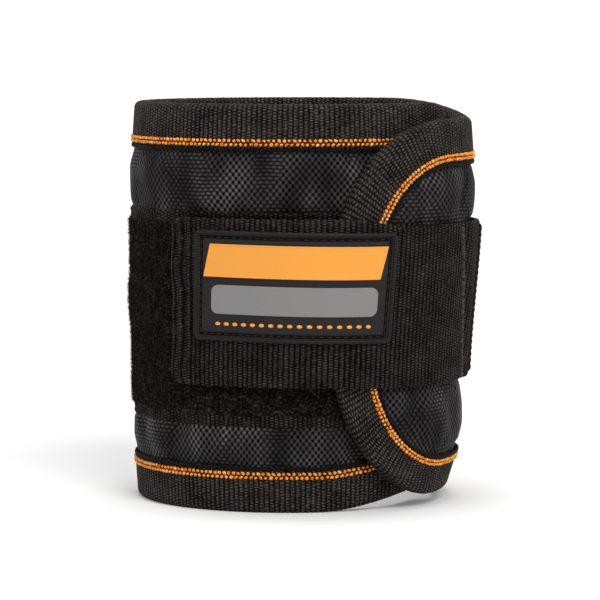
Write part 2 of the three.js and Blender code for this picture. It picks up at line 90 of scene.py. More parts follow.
# Edge binding with its orange stripe and its dark selvage
TAPE_LEG = 7
TAPE_REACH = 9.9
TAPE_FOLD = 1.4
TAPE_THICKNESS = 0.4
TAPE_STAND = 0.65
TAPE_RIB_PITCH = 1.1
TAPE_RIB_HEIGHT = 0.13
TAPE_THREAD_PITCH = 0.32
STRIPE_ROW_EDGES = (7.7, 8.55)
STRIPE_WIDTH = 1.85
STRIPE_PITCH = 1.07
STITCH_SIZE = (0.47, 0.37, 0.35)
STITCH_SLANT = 28
SELVAGE_EDGE = 9.6
SELVAGE_PITCH = 0.85
SELVAGE_SIZE = (0.72, 0.4, 0.42)
SELVAGE_SLANT = 40

# The strip's ends, hinges and rounded caps
INNER_TIP_BEARING = 85
INNER_HINGE_BEARING = 36
INNER_SPLIT_BEARING = 26
INNER_ROUND = 16
INNER_UPPER_SQUARENESS = 3.5
INNER_LOWER_SQUARENESS = 2
INNER_LOWER_LIFT = 3.2
LIFT_START_BEARING = 8
LIFT_FULL_BEARING = 60
FLAP_HINGE_BEARING = 125
FLAP_SPLIT_BEARING = 145
FLAP_TAPERED_BEARING = 84
FLAP_ROUND = 33.2
FLAP_TIP_ARC = 6.3
FLAP_UPPER_DROP = 3.6
FLAP_LOWER_LIFT = 2.5
FLAP_UPPER_SQUARENESS = 2.45
FLAP_LOWER_SQUARENESS = 2.35
FLAP_LOWER_NARROWING = 0.16
FLAP_LOWER_PULL = 1.3
FLAP_PULL_HEIGHT = 16
FLAP_PULL_BEARING = 40
BEND_ARC = 5

# The plies' weaves, and how the nylon swells over the padding and creases as it settles
NYLON_PITCH = (0.74, 0.83)
LINING_PITCH = 0.9
LINING_STEP = 2.5
UPPER_CROWN = 0.4
LOWER_CROWN = 0.15
OPEN_CROWN = 0.25
PATCH_CROWN = 0.45
UPPER_SEAM_RISE = 0.8
LOWER_SEAM_RISE = 0.1
MAGNET_RISE = 0.55
MAGNET_LIFT_MARGIN = 1.2
STRAP_PRESS = 0.1
TAPE_CREASE = 0.12
UNSETTLED_WAVE = 0.12
CLOTH_SCALE = 20
CLOTH_STEP = 0.65
CLOTH_FRAMES = 24
CREASE_OUT = 0.5
CREASE_IN = 0.4
FABRIC = {
    "quality": 6,
    "mass": 0.25,
    "tension_stiffness": 20,
    "compression_stiffness": 12,
    "shear_stiffness": 6,
    "bending_stiffness": 0.6,
    "air_damping": 3,
    "shrink_min": -0.035,
    "use_pressure": True,
    "uniform_pressure_force": 0.8,
    "vertex_group_mass": "held",
}

LOOP_HEIGHT = 0.8
LOOP_LOWER_MARGIN = 18.6
LOOP_UPPER_MARGIN = 23.2
LOOP_END_BEARING = -112
LOOP_TUCK = 1.5
LOOP_SELVAGE = 2.9
PILE_LAP = 0.6
FUZZ_COUNTS = (12400, 3000)
FUZZ_RADIUS = 0.045
HOOK_HEIGHT = 0.6
HOOK_MARGIN = 2.5
HOOK_START_BEARING = -2
HOOK_COUNTS = (2600, 900)
HOOK_RADIUS = 0.09
HOOK_BASE = 0.35

# Strap
STRAP_THICKNESS = 1.3
STRAP_MID_HEIGHT = BAND_HEIGHT / 2 + 1.65
STRAP_WIDTH = 36.2
STRAP_WIDTH_AT_SEAM = 35
STRAP_TAPER_BEARING = 12
STRAP_TAPER_SPAN = 28
STRAP_DROP = 1.25
STRAP_TIP_BEARING = -47.2
STRAP_CORNER = 2.6
STRAP_SEAM_BEARING = 66
STRAP_SEAM_SLANT = 13
STRAP_SEAM_SHIFT = -0.8
STRAP_ANCHOR_BEARING = 100
STRAP_PRESS_BEARING = -30
STRAP_BEND_BEARING = 15
STRAP_CLIMB_BEARING = 50
STRAP_CLIMBED_BEARING = 20
STRIPE_STAND = 0.8
SEAT_GAP = 0.3
WEB_RIB_PITCH = 1.15
WEB_RIB_HEIGHT = 0.17
WEB_THREAD_PITCH = 0.3
HEM_HEIGHT = 0.8
HEM_BEARING = 86
HEM_PITCH = 1.4
HEM_SIZE = (2.8, 0.75, 0.7)
HEM_SLANT = 66
HEM_START = 1
HEM_CLIMB = 5
HEM_FALL = 12
SEAM_DIP = 0.3
SEAM_DIP_BEARING = 1.6
SEAM_PITCH = 1.3
SEAM_SIZE = (0.85, 0.75, 0.6)
SEAM_STITCH_SLANT = 14
ANCHOR_PITCH = 1.8
ANCHOR_MARGIN_BEARING = 3
THREAD_SIZE = (0.62, 0.22, 0.18)

# Label, and its panels: width, height, distance from the label's upper edge, shift aside
LABEL_MID_BEARING = -2.6
LABEL_WIDTH = 43.2
LABEL_HEIGHT = 23.7
LABEL_UPPER_MARGIN = 2.75
LABEL_CORNER = 1.1
LABEL_TILT = 0.7
LABEL_BASE = 0.65
LABEL_GROOVE_WIDTH = 2
LABEL_GROOVE_DEPTH = 0.4
RIM_WIDTH = 0.9
GROOVE_INSET = (RIM_WIDTH + LABEL_GROOVE_WIDTH) / 2
RIM_HEIGHT = 0.45
PANEL_HEIGHT = 0.3
UPPER_PANEL = (37.4, 7.1, 2.85, 0.05)
LOWER_PANEL = (35.3, 6.3, 11.6, 0.2)
UPPER_PANEL_SLANT = 0.2
LOWER_PANEL_CORNER = 1.65
DASH_COUNT = 17
DASH_PITCH = 2
DASH_DROP = 20
DASH_SIZE = (0.66, 0.42, 0.22)
LABEL_STITCH_PITCH = 1.7
LABEL_STITCH_SIZE = (0.62, 0.17, 0.13)

# Magnets
MAGNET_RADIUS = 4.5
MAGNET_ROW_MARGIN = 16
MAGNET_PITCH_BEARING = 25
BAND_MAGNET_BEARINGS = [15 - MAGNET_PITCH_BEARING * k for k in range(5)]
FLAP_MAGNET_BEARINGS = [80 - MAGNET_PITCH_BEARING * k for k in range(2)]

# The photograph's view, with the camera's place from the ring's centre on the floor
FOCAL_PIXELS = 3510.8
FRAME_PIXELS = 600
SENSOR_WIDTH = 36
CAMERA_PLACE = (-0.18, -782, 106.3)
CAMERA_TILT = 0.08
FLOOR_REACH = 30
FLOOR_LEVEL = 0.85
FLOOR_GLOW = 0.16
WORLD_LEVEL = 0.32

rng = np.random.default_rng(7)


def lerp(a, b, share):
    return a + (b - a) * share


def smooth(share):
    t = np.clip(share, 0, 1)
    return t * t * (3 - 2 * t)


def pairs(u, v):
    """Two lengths for each point, in one array."""
    return np.stack(np.broadcast_arrays(u, v), -1)


def placed(name, data):
    thing = bpy.data.objects.new(name, data)
    bpy.context.scene.collection.objects.link(thing)
    return thing


def arc(length):
    """The bearing that a length spans on the middle of the ring."""
    return math.degrees(1 / RING_RADIUS_MID) * length


def length_of(bearing):
    return bearing / arc(1)


def ring_centre():
    """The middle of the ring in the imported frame, found from the flap's hinge."""
    hinge = next(j for j in frame["joints"] if j["name"] == "flap_open")["pos_m"]
    turn = math.radians(FLAP_HINGE_BEARING)
    return (
        hinge[0] / MM - FLAP_HINGE_RADIUS * math.sin(turn),
        hinge[1] / MM + FLAP_HINGE_RADIUS * math.cos(turn),
    )


CENTRE_X, CENTRE_Y = ring_centre()


def waist_share(height):
    top = BAND_HEIGHT - WAIST_UPPER_MARGIN
    return smooth((height - WAIST_LOWER_MARGIN) / (top - WAIST_LOWER_MARGIN))


def ring_radius(bearing, height):
    """The ring's radius: wider above its waist, and curled in low down at the right."""
    away = np.mod(bearing - CURL_MID_BEARING + 180, 360) - 180
    low = np.clip(1 - height / CURL_HEIGHT, 0, None)
    curl = CURL_DEPTH * smooth(1 - np.abs(away) / CURL_SPAN_BEARING) * low
    return lerp(RING_RADIUS_LOWER, RING_RADIUS_UPPER, waist_share(height)) - curl


def ring_point(bearing, height, radius):
    turn = np.radians(bearing)
    lean = LOWER_LEAN * (1 - waist_share(height))
    x = CENTRE_X + radius * np.sin(turn) - lean
    y = CENTRE_Y - radius * np.cos(turn)
    return np.stack(np.broadcast_arrays(x, y, height + 0 * x), axis=-1)


def tuck(turn):
    """How far the strip has sunk under the flap."""
    span = TUCK_FULL_BEARING - TUCK_FREE_BEARING
    return TUCK_DEPTH * smooth((turn - TUCK_FREE_BEARING) / span)


def pressed(stand, edge):
    """The padding is pressed thinner towards a bound edge."""
    keep = 1 - EDGE_THINNING * (1 - np.minimum(edge / TAPE_LEG, 1))
    return -WALL / 2 + (stand + WALL / 2) * keep


def superellipse(share, squareness):
    return np.clip(1 - np.clip(share, 0, 1) ** squareness, 0, None) ** (1 / squareness)


class Sheet:
    """A stretch of the strip: where it starts, where its straight edges end, and its cap."""

    def __init__(self, body, start, end, cap=0, squareness=(2, 2)):
        self.body = body
        self.start = start
        self.end = end
        self.cap = cap
        self.lower_squareness, self.upper_squareness = squareness
        self.way = 1 if end > start else -1
        self.shift = -360 if body == "flap" else 0

    def taper(self, bearing):
        span = FLAP_SPLIT_BEARING - FLAP_TAPERED_BEARING
        return smooth((FLAP_SPLIT_BEARING - bearing) / span)

    def lower(self, bearing):
        if self.body == "flap":
            return FLAP_LOWER_LIFT * self.taper(bearing)
        span = LIFT_FULL_BEARING - LIFT_START_BEARING
        return INNER_LOWER_LIFT * smooth((bearing - LIFT_START_BEARING) / span)

    def upper(self, bearing):
        if self.body == "flap":
            return BAND_HEIGHT - FLAP_UPPER_DROP * self.taper(bearing)
        return BAND_HEIGHT + 0 * bearing

    def middle(self, bearing):
        return (self.upper(bearing) + self.lower(bearing)) / 2

    def half(self, bearing):
        return (self.upper(bearing) - self.lower(bearing)) / 2

    def point(self, bearing, height, stand, edge):
        if self.body == "flap":
            low = smooth((self.middle(bearing) - height) / FLAP_PULL_HEIGHT)
            near_tip = smooth((FLAP_TAPERED_BEARING - bearing) / FLAP_PULL_BEARING)
            bearing = bearing + arc(FLAP_LOWER_PULL) * low * near_tip
        sunk = ring_radius(bearing, height) - tuck(bearing + self.shift)
        return ring_point(bearing, height, sunk + pressed(stand, edge))

    def along(self, bearing):
        """The length along the strip from the tucked end's tip."""
        return length_of(INNER_TIP_BEARING - bearing - self.shift)

    def edge_distance(self, bearing, height):
        """How far in from the bound edge a place is, found in the cap by halving."""
        rise = height - self.middle(bearing)
        half = self.half(bearing)
        along = length_of((bearing - self.end) * self.way)
        power = np.where(rise > 0, self.upper_squareness, self.lower_squareness)
        near = np.zeros(np.broadcast(rise, along).shape)
        far = near + min(self.cap, BAND_HEIGHT / 2) * 0.999
        for _ in range(HALVINGS if self.cap else 0):
            edge = (near + far) / 2
            share_along = np.clip(along, 0, None) / (self.cap - edge)
            share_rise = np.abs(rise) / np.maximum(half - edge, 0.01)
            inside = share_along**power + share_rise**power < 1
            near = np.where(inside, edge, near)
            far = np.where(inside, far, edge)
        return np.where(along > 0, near, half - np.abs(rise))

    def edge_path(self, side, spacing):
        """Evenly spaced places along a bound edge, lower, upper or round the cap."""
        bearings = np.linspace(self.start, self.end, 240)
        places = []
        if side in ("lower", "round"):
            places.append(np.stack([bearings, 0 * bearings, 0 * bearings - 1]))
        if side == "round":
            turn = np.linspace(0, math.pi / 2, 200)[1:]
            for power, sign in ((self.lower_squareness, -1), (self.upper_squareness, 1)):
                along = np.sin(turn) ** (2 / power)
                rise = sign * np.cos(turn) ** (2 / power)
                cap = np.stack([0 * turn + self.end, along, rise])
                places.append(cap if sign < 0 else cap[:, ::-1][:, 1:])
        if side in ("upper", "round"):
            straight = np.stack([bearings, 0 * bearings, 0 * bearings + 1])
            places.append(straight if side == "upper" else straight[:, ::-1])
        path = np.concatenate(places, axis=1)
        spots = self.edge_point(path, TAPE_LEG / 2, 0)
        steps = np.linalg.norm(np.diff(spots, axis=0), axis=1)
        along = np.concatenate([[0], np.cumsum(steps)])
        even = np.linspace(0, along[-1], max(int(along[-1] / spacing), 2) + 1)
        return np.stack([np.interp(even, along, row) for row in path]), even

    def edge_point(self, path, edge, stand):
        start, along, rise = path
        if self.body == "flap":
            edge = edge * (1 - FLAP_LOWER_NARROWING * smooth(-rise) * self.taper(start))
        bearing = start + self.way * arc((self.cap - edge) * along)
        height = self.middle(bearing) + (self.half(bearing) - edge) * rise
        return self.point(bearing, height, stand, edge)


FLAP_TIP_BEARING = arc(FLAP_TIP_ARC)
FLAP = Sheet(
    "flap",
    FLAP_SPLIT_BEARING,
    FLAP_TIP_BEARING + arc(FLAP_ROUND),
    FLAP_ROUND,
    (FLAP_LOWER_SQUARENESS, FLAP_UPPER_SQUARENESS),
)
MAIN = Sheet("band", INNER_SPLIT_BEARING, FLAP_SPLIT_BEARING - 360)
INNER = Sheet(
    "inner_end",
    INNER_SPLIT_BEARING,
    INNER_TIP_BEARING - arc(INNER_ROUND),
    INNER_ROUND,
    (INNER_LOWER_SQUARENESS, INNER_UPPER_SQUARENESS),
)


def paint(text):
    """A colour written as it looks, as the linear colour that a shader takes."""
    parts = [int(text[i : i + 2], 16) / 255 for i in (1, 3, 5)]
    linear = [p / 12.92 if p <= 0.04045 else ((p + 0.055) / 1.055) ** 2.4 for p in parts]
    return (*linear, 1)


class Tree:
    """A tree of shader nodes that is built up by small steps."""

    def __init__(self, owner):
        owner.use_nodes = True
        self.tree = owner.node_tree

    def node(self, kind, **settings):
        node = self.tree.nodes.new(kind)
        for name, value in settings.items():
            setattr(node, name, value)
        return node

    def put(self, socket, value):
        if isinstance(value, bpy.types.NodeSocket):
            self.tree.links.new(value, socket)
        else:
            socket.default_value = value

    def result(self, kind, *values, **settings):
        """What comes out of a new node with these inputs."""
        node = self.node(kind, **settings)
        for socket, value in zip(node.inputs, values):
            self.put(socket, value)
        return node.outputs[0]

    def filled(self, kind, inputs):
        """The outputs of a new node with these named inputs."""
        node = self.node(kind)
        for name, value in inputs.items():
            self.put(node.inputs[name], value)
        return node.outputs

    def calc(self, operation, *values):
        return self.result("ShaderNodeMath", *values, operation=operation)

    def seen(self):
        """1 for rays that show the surround itself: seen, mirrored or through glass."""
        path = self.node("ShaderNodeLightPath").outputs
        mirrored = self.calc("MAXIMUM", path["Is Camera Ray"], path["Is Glossy Ray"])
        return self.calc("MAXIMUM", mirrored, path["Is Transmission Ray"])


class Material(Tree):
    def __init__(self, name, roughness, metallic=0, specular=0.5):
        self.made = bpy.data.materials.new(name)
        super().__init__(self.made)
        self.shader = self.tree.nodes["Principled BSDF"]
        values = {"Roughness": roughness, "Metallic": metallic, "Specular IOR Level": specular}
        for socket, value in values.items():
            self.shader.inputs[socket].default_value = value

    def place(self):
        """The lengths along the cloth, in millimetres, that each mesh carries."""
        return self.node("ShaderNodeAttribute", attribute_name="weave").outputs["Vector"]

    def lengths(self, place):
        """The length along the cloth and the one across it."""
        parts = self.filled("ShaderNodeSeparateXYZ", {"Vector": place})
        return parts[0], parts[1]

    def checks(self, along, across, pitch_along, pitch_across, sharp=0.7):
        """Staggered cells from 0, the holes, to 1, the threads that stand high."""
        a = self.calc("SINE", self.calc("MULTIPLY", along, math.pi / pitch_along))
        b = self.calc("SINE", self.calc("MULTIPLY", across, math.pi / pitch_across))
        wave = self.calc("MULTIPLY", a, b)
        size = self.calc("POWER", self.calc("ABSOLUTE", wave), sharp)
        signed = self.calc("MULTIPLY", size, self.calc("SIGN", wave))
        return self.calc("MULTIPLY_ADD", signed, 0.5, 0.5)

    def ribs(self, along, pitch):
        """Parallel ridges, 0 in the gaps between them and 1 on top."""
        wave = self.calc("SINE", self.calc("MULTIPLY", along, math.pi / pitch))
        return self.calc("ABSOLUTE", wave)

    def stretched(self, vector, along, across):
        """The lengths along the cloth, scaled apart."""
        scales = (along, across, 1)
        return self.result("ShaderNodeVectorMath", vector, scales, operation="MULTIPLY")

    def add(self, *parts):
        """The sum of outputs, each with its weight."""
        total = None
        for output, weight in parts:
            part = self.calc("MULTIPLY", output, weight)
            total = part if total is None else self.calc("ADD", total, part)
        return total

    def noise(self, vector, scale, detail=2):
        inputs = {"Scale": scale, "Detail": detail, "Vector": vector}
        return self.filled("ShaderNodeTexNoise", inputs)["Fac"]

    def ramp(self, factor, *stops):
        node = self.node("ShaderNodeValToRGB")
        elements = node.color_ramp.elements
        while len(elements) < len(stops):
            elements.new(0.5)
        for element, (place, colour) in zip(elements, stops):
            element.position = place
            element.color = paint(colour)
        self.put(node.inputs[0], factor)
        return node.outputs[0]

    def colour(self, value):
        self.put(self.shader.inputs["Base Color"], value)

    def fit(self, factor, source, target=(0, 1)):
        """Carries one range over to another, and holds what lies beyond it."""
        sockets = ("Value", "From Min", "From Max", "To Min", "To Max")
        inputs = dict(zip(sockets, (factor, *source, *target)))
        return self.filled("ShaderNodeMapRange", inputs)[0]

    def rough(self, factor, low, high):
        self.put(self.shader.inputs["Roughness"], self.fit(factor, (0, 1), (low, high)))

    def bump(self, height, depth):
        """Raises the surface by the height, times a depth in millimetres."""
        bumped = self.filled("ShaderNodeBump", {"Distance": depth * MM, "Height": height})
        self.put(self.shader.inputs["Normal"], bumped[0])


def nylon_material():
    m = Material("ballistic_nylon", 0.5, specular=0.03)
    place = m.place()
    u, v = m.lengths(place)
    drift = m.noise(place, 0.12)
    along = m.add((u, 1), (drift, 0.6))
    across = m.add((v, 1), (drift, 0.9))
    wave = m.checks(along, across, *NYLON_PITCH, 1)
    cells = m.add((m.fit(wave, (0.06, 0.5)), 0.5), (wave, 0.5))
    # Painted highlight: where the noise blends the cells into horizontal bars, the weft threads
    # are painted as if caught by light from above.
    bars = m.add((cells, 0.45), (m.ribs(across, NYLON_PITCH[1]), 0.55))
    turned = m.fit(m.noise(place, 0.09, 1), (0.47, 0.6))
    change = m.calc("MULTIPLY", turned, m.calc("SUBTRACT", bars, cells))
    threads = m.add((cells, 1), (change, 1))
    # Painted sheen: large soft patches brighten and darken the threads, standing in for the
    # light and shade on the cloth's folds; the holes stay dark.
    painted_sheen = m.fit(m.noise(m.stretched(place, 1, 0.6), 0.13, 2), (0.32, 0.68), (0.54, 1.0))
    lit = m.calc("MULTIPLY", threads, painted_sheen)
    height = m.fit(m.add((lit, 0.85), (m.noise(place, 5), 0.25)), (0.1, 1.1))
    # The light stops on the thread crowns are partly the threads' own grey and partly painted
    # highlight, as the specular level is kept low; the near-black stops are the holes.
    places = (0.08, 0.25, 0.46, 0.68, 1)
    colours = ("#020202", "#0c0b0b", "#272526", "#444042", "#837c7d")
    m.colour(m.ramp(height, *zip(places, colours)))
    m.rough(height, 0.7, 0.4)
    m.bump(threads, 0.16)
    return m.made


def tape_material(name, rib_pitch, thread_pitch, colours):
    """Ribbed woven tape: staggered threads up the ribs, and painted shade in the gaps between
    them.
    """
    m = Material(name, 0.6, specular=0.03)
    place = m.place()
    u, v = m.lengths(place)
    wander = m.noise(place, 0.6)
    wave = m.checks(u, m.add((v, 1), (wander, 0.6)), rib_pitch, thread_pitch, 1)
    threads = m.fit(wave, (0.25, 0.85))
    # The ribs also darken the colour in their gaps: painted shade.
    ribs = m.ribs(u, rib_pitch)
    streaks = m.noise(m.stretched(place, 3.2, 0.9), 1, 2)
    # Painted highlight: sparse bright specks standing in for glints on the threads.
    painted_glints = m.fit(m.noise(place, 1.7, 2), (0.54, 0.74))
    wear = m.noise(place, 0.2, 2)
    height = m.add((threads, 0.3), (ribs, 0.3), (streaks, 0.7), (painted_glints, 0.22), (wear, 0.4))
    height = m.fit(height, (0.5, 1.3))
    # The lightest stop is partly the threads' own grey and partly painted highlight on the
    # thread crowns.
    m.colour(m.ramp(height, *zip((0.08, 0.3, 0.58, 0.95), colours)))
    m.rough(height, 0.75, 0.48)
    m.bump(m.add((threads, 0.6), (ribs, 0.4)), 0.14)
    return m.made


def stripe_material(name, dark, light):
    m = Material(name, 0.5, specular=0.05)
    place = m.place()
    fibre = m.noise(place, 1.2, 3)
    m.colour(m.ramp(fibre, (0.36, dark), (0.62, light)))
    m.rough(fibre, 0.45, 0.6)
    m.bump(m.noise(place, 12), 0.05)
    return m.made


def pile_material():
    m = Material("loop_pile", 0.95, specular=0.04)
    place = m.place()
    clumps = m.noise(place, 0.4, 3)
    loops = m.noise(place, 1.6, 5)
    height = m.add((clumps, 0.35), (loops, 0.75))
    stops = ((0.41, "#030202"), (0.52, "#120e0c"), (0.62, "#251f1b"), (0.75, "#4b423a"))
    m.colour(m.ramp(height, *stops))
    m.bump(loops, 0.4)
    return m.made


def rubber_material(name, dark, light, roughness):
    m = Material(name, roughness, specular=0.12)
    place = m.place()
    grain = m.noise(place, 4, 4)
    m.colour(m.ramp(grain, (0.3, dark), (0.7, light)))
    m.rough(grain, roughness - 0.05, roughness + 0.08)
    m.bump(grain, 0.02)
    return m.made


def lining_material():
    m = Material("lining_mesh", 0.85, specular=0.06)
    place = m.place()
    holes = m.checks(*m.lengths(place), LINING_PITCH, LINING_PITCH)
    height = m.add((holes, 0.8), (m.noise(place, 0.2), 0.25))
    m.colour(m.ramp(height, (0.1, "#070606"), (0.5, "#1b1918"), (1.0, "#3a3735")))
    m.bump(holes, 0.2)
    return m.made


def magnet_material():
    m = Material("plated_magnet", 0.25, metallic=1)
    texture = m.node("ShaderNodeTexCoord").outputs["Object"]
    m.colour(m.ramp(m.noise(texture, 900, 3), (0.3, "#a9abad"), (0.7, "#c6c8ca")))
    m.rough(m.noise(texture, 2500, 2), 0.2, 0.38)
    return m.made


NYLON = nylon_material()
# Each tape's lightest colour is partly painted highlight on its thread crowns.
BINDING = tape_material(
    "binding_tape",
    TAPE_RIB_PITCH,
    TAPE_THREAD_PITCH,
    ("#030202", "#151210", "#2c2825", "#5f5953"),
)
WEBBING = tape_material(
    "strap_webbing",
    WEB_RIB_PITCH,
    WEB_THREAD_PITCH,
    ("#030202", "#0e0b0a", "#211d1b", "#4a443e"),
)
CORD = stripe_material("dark_selvage", "#050404", "#1f1c1a")
THREAD = stripe_material("strap_thread", "#1f1b18", "#58504a")
ORANGE = stripe_material("orange_yarn", "#ec6604", "#ffc460")
ORANGE_BASE = stripe_material("orange_ground", "#200a01", "#5a2203")
PILE = pile_material()
RUBBER = rubber_material("label_rubber", "#232121", "#2a2828", 0.55)
RIM_RUBBER = rubber_material("label_rim_rubber", "#1b1917", "#262321", 0.5)
GROOVE = rubber_material("label_groove", "#060505", "#0d0b0b", 0.8)
LABEL_ORANGE = rubber_material("label_orange_rubber", "#f8a342", "#ffae50", 0.55)
LABEL_GREY = rubber_material("label_grey_rubber", "#848381", "#8f8e8c", 0.55)
LINING_CLOTH = lining_material()
HOOKS = rubber_material("moulded_hooks", "#100e0e", "#1e1b1a", 0.5)
MAGNET = magnet_material()


def build(name, points, faces, weave, material, sharp=40):
    """Makes an object of points in millimetres, with its faces turned outwards."""
    points = np.asarray(points, float).reshape(-1, 3)
    weave = np.asarray(weave, float).reshape(len(points), -1)
    mesh = bpy.data.meshes.new(name)
    mesh.from_pydata((points * MM).tolist(), [], faces)
    layer = mesh.attributes.new("weave", "FLOAT_VECTOR", "POINT")
    values = np.zeros((len(points), 3))
    values[:, : weave.shape[1]] = weave
    layer.data.foreach_set("vector", values.ravel())
    mesh.update()
    if signed_volume(mesh) < 0:
        mesh.flip_normals()
    mesh.shade_smooth()
    mesh.set_sharp_from_angle(angle=math.radians(sharp))
    mesh.materials.append(material)
    return placed(name, mesh)


def signed_volume(mesh):
    mesh.calc_loop_triangles()
    corners = np.zeros(len(mesh.loop_triangles) * 3, np.int32)
    mesh.loop_triangles.foreach_get("vertices", corners)
    places = np.zeros(len(mesh.vertices) * 3)
    mesh.vertices.foreach_get("co", places)
    a, b, c = places.reshape(-1, 3)[corners.reshape(-1, 3)].transpose(1, 0, 2)
    return float(np.einsum("ij,ij->i", a, np.cross(b, c)).sum())


def grid_faces(at):
    """The four-sided faces between the numbered points of a grid."""
    corners = [at[:-1, :-1], at[:-1, 1:], at[1:, 1:], at[1:, :-1]]
    return np.stack(corners, -1).reshape(-1, 4)


def slab(name, outer, inner, weave, material, sharp=40):
    """A closed body between two matching grids of points."""
    rows, columns = outer.shape[:2]
    count = rows * columns
    at = np.arange(count).reshape(rows, columns)
    quads = grid_faces(at)
    rim = np.concatenate([at[0, :], at[1:, -1], at[-1, -2::-1], at[-2:0:-1, 0]])
    after = np.roll(rim, -1)
    sides = np.stack([rim, rim + count, after + count, after], -1)
    faces = np.concatenate([quads, quads[:, ::-1] + count, sides])
    points = np.concatenate([outer.reshape(-1, 3), inner.reshape(-1, 3)])
    both = np.concatenate([weave.reshape(count, -1)] * 2)
    return build(name, points, faces.tolist(), both, material, sharp)


def sweep(name, points, weave, material, closed=False, sharp=40):
    """A tube through a grid of points, one closed section for each row."""
    frames, count = points.shape[:2]
    at = np.arange(frames * count).reshape(frames, count)
    if closed:
        at = np.concatenate([at, at[:1]])
    side = np.roll(at, -1, axis=1)
    faces = np.stack([at[:-1], side[:-1], side[1:], at[1:]], -1).reshape(-1, 4).tolist()
    if not closed:
        faces.append(at[0, ::-1].tolist())
        faces.append(at[-1].tolist())
    return build(name, points, faces, weave, material, sharp)


def unit(vectors):
    return vectors / np.maximum(np.linalg.norm(vectors, axis=-1, keepdims=True), 1e-9)


def bead_shape(sides=8, rings=5):
    """A unit ball of few faces."""
    points = [(0, 0, 1)]
    for ring in range(1, rings):
        tilt = math.pi * ring / rings
        for side in range(sides):
            turn = 2 * math.pi * side / sides
            out = math.sin(tilt)
            points.append((out * math.cos(turn), out * math.sin(turn), math.cos(tilt)))
    points.append((0, 0, -1))
    last = len(points) - 1
    faces = []
    for side in range(sides):
        after = (side + 1) % sides
        faces.append((0, 1 + side, 1 + after))
        for ring in range(rings - 2):
            a = 1 + ring * sides
            b = a + sides
            faces.append((a + side, b + side, b + after, a + after))
        low = 1 + (rings - 2) * sides
        faces.append((last, low + after, low + side))
    return np.array(points), faces


def beads(name, spots, along, across, up, radii, material):
    """One small ball for each spot, stretched along its own three directions."""
    shape, faces = bead_shape()
    radii = np.broadcast_to(np.asarray(radii, float), (len(spots), 3))
    axes = np.stack([along, across, up], 1) * radii[:, :, None]
    points = spots[:, None, :] + np.einsum("pk,nkd->npd", shape, axes)
    count = len(shape)
    every = [[at + n * count for at in face] for n in range(len(spots)) for face in faces]
    weave = np.repeat(rng.uniform(0, 400, (len(spots), 2)), count, axis=0)
    weave += np.tile(shape[:, :2], (len(spots), 1)) * radii[0, 0]
    return build(name, points, every, weave, material, 80)


def edge_frames(sheet, path, edge, stand):
    """Spots along a bound edge and the directions along it, across it and out of it."""
    spots = sheet.edge_point(path, edge, stand)
    along = unit(np.gradient(spots, axis=0))
    across = unit(sheet.edge_point(path, edge + 0.2, stand) - spots)
    up = unit(sheet.edge_point(path, edge, stand + 0.2) - spots)
    return spots, along, across, up


def slanted(along, across, degrees):
    turn = math.radians(degrees)
    return (
        along * math.cos(turn) + across * math.sin(turn),
        across * math.cos(turn) - along * math.sin(turn),
    )


def tape_section():
    """The folded tape: edge distance, stand, and the outward direction of its outer face."""
    outer_leg = np.array([TAPE_REACH, TAPE_REACH - 0.15, 8.6, 7.4, 6.2, 5.0, 3.8, 2.8])
    leg_stand = np.full(len(outer_leg), TAPE_STAND)
    leg_stand[0] -= TAPE_THICKNESS / 2
    half = WALL / 2 + TAPE_STAND
    turn = np.radians(np.linspace(90, -90, 15))
    shape = np.sign(np.sin(turn)) * np.abs(np.sin(turn)) ** 0.8
    fold_edge = TAPE_FOLD * (1 - np.cos(turn) ** 0.8)
    fold_stand = -WALL / 2 + half * shape
    inner_leg = np.array([3, 4.5, 6, TAPE_LEG - 0.15, TAPE_LEG])
    inner_stand = np.full(len(inner_leg), -WALL - TAPE_STAND)
    inner_stand[-1] += TAPE_THICKNESS / 2
    edge = np.concatenate([outer_leg, fold_edge, inner_leg])
    stand = np.concatenate([leg_stand, fold_stand, inner_stand])
    step_edge = np.gradient(edge)
    step_stand = np.gradient(stand)
    size = np.hypot(step_edge, step_stand)
    out = np.stack([step_stand, -step_edge]) / size
    keep = slice(1, len(edge) - 1)
    back_edge = (edge - out[0] * TAPE_THICKNESS)[keep][::-1]
    back_stand = (stand - out[1] * TAPE_THICKNESS)[keep][::-1]
    zeros = np.zeros((2, len(back_edge)))
    return (
        np.concatenate([edge, back_edge]),
        np.concatenate([stand, back_stand]),
        np.concatenate([out, zeros], axis=1),
    )


def binding(name, sheet, side):
    """The ribbed tape that is folded over an edge."""
    path, along = sheet.edge_path(side, TAPE_RIB_PITCH / 6)
    edge, stand, out = tape_section()
    rib = np.abs(np.sin(np.pi * along / TAPE_RIB_PITCH)) ** 0.7
    unevenness = 1 + 0.25 * np.sin(along * 1.7) * np.sin(along * 0.31)
    rise = (TAPE_RIB_HEIGHT * rib * unevenness)[:, None]
    columns = [row[:, None] for row in path]
    points = sheet.edge_point(columns, edge + out[0] * rise, stand + out[1] * rise)
    across = np.concatenate([[0], np.cumsum(np.hypot(np.diff(edge), np.diff(stand)))])
    weave = pairs(along[:, None], across)
    return sweep(name, points, weave, BINDING, sharp=60)


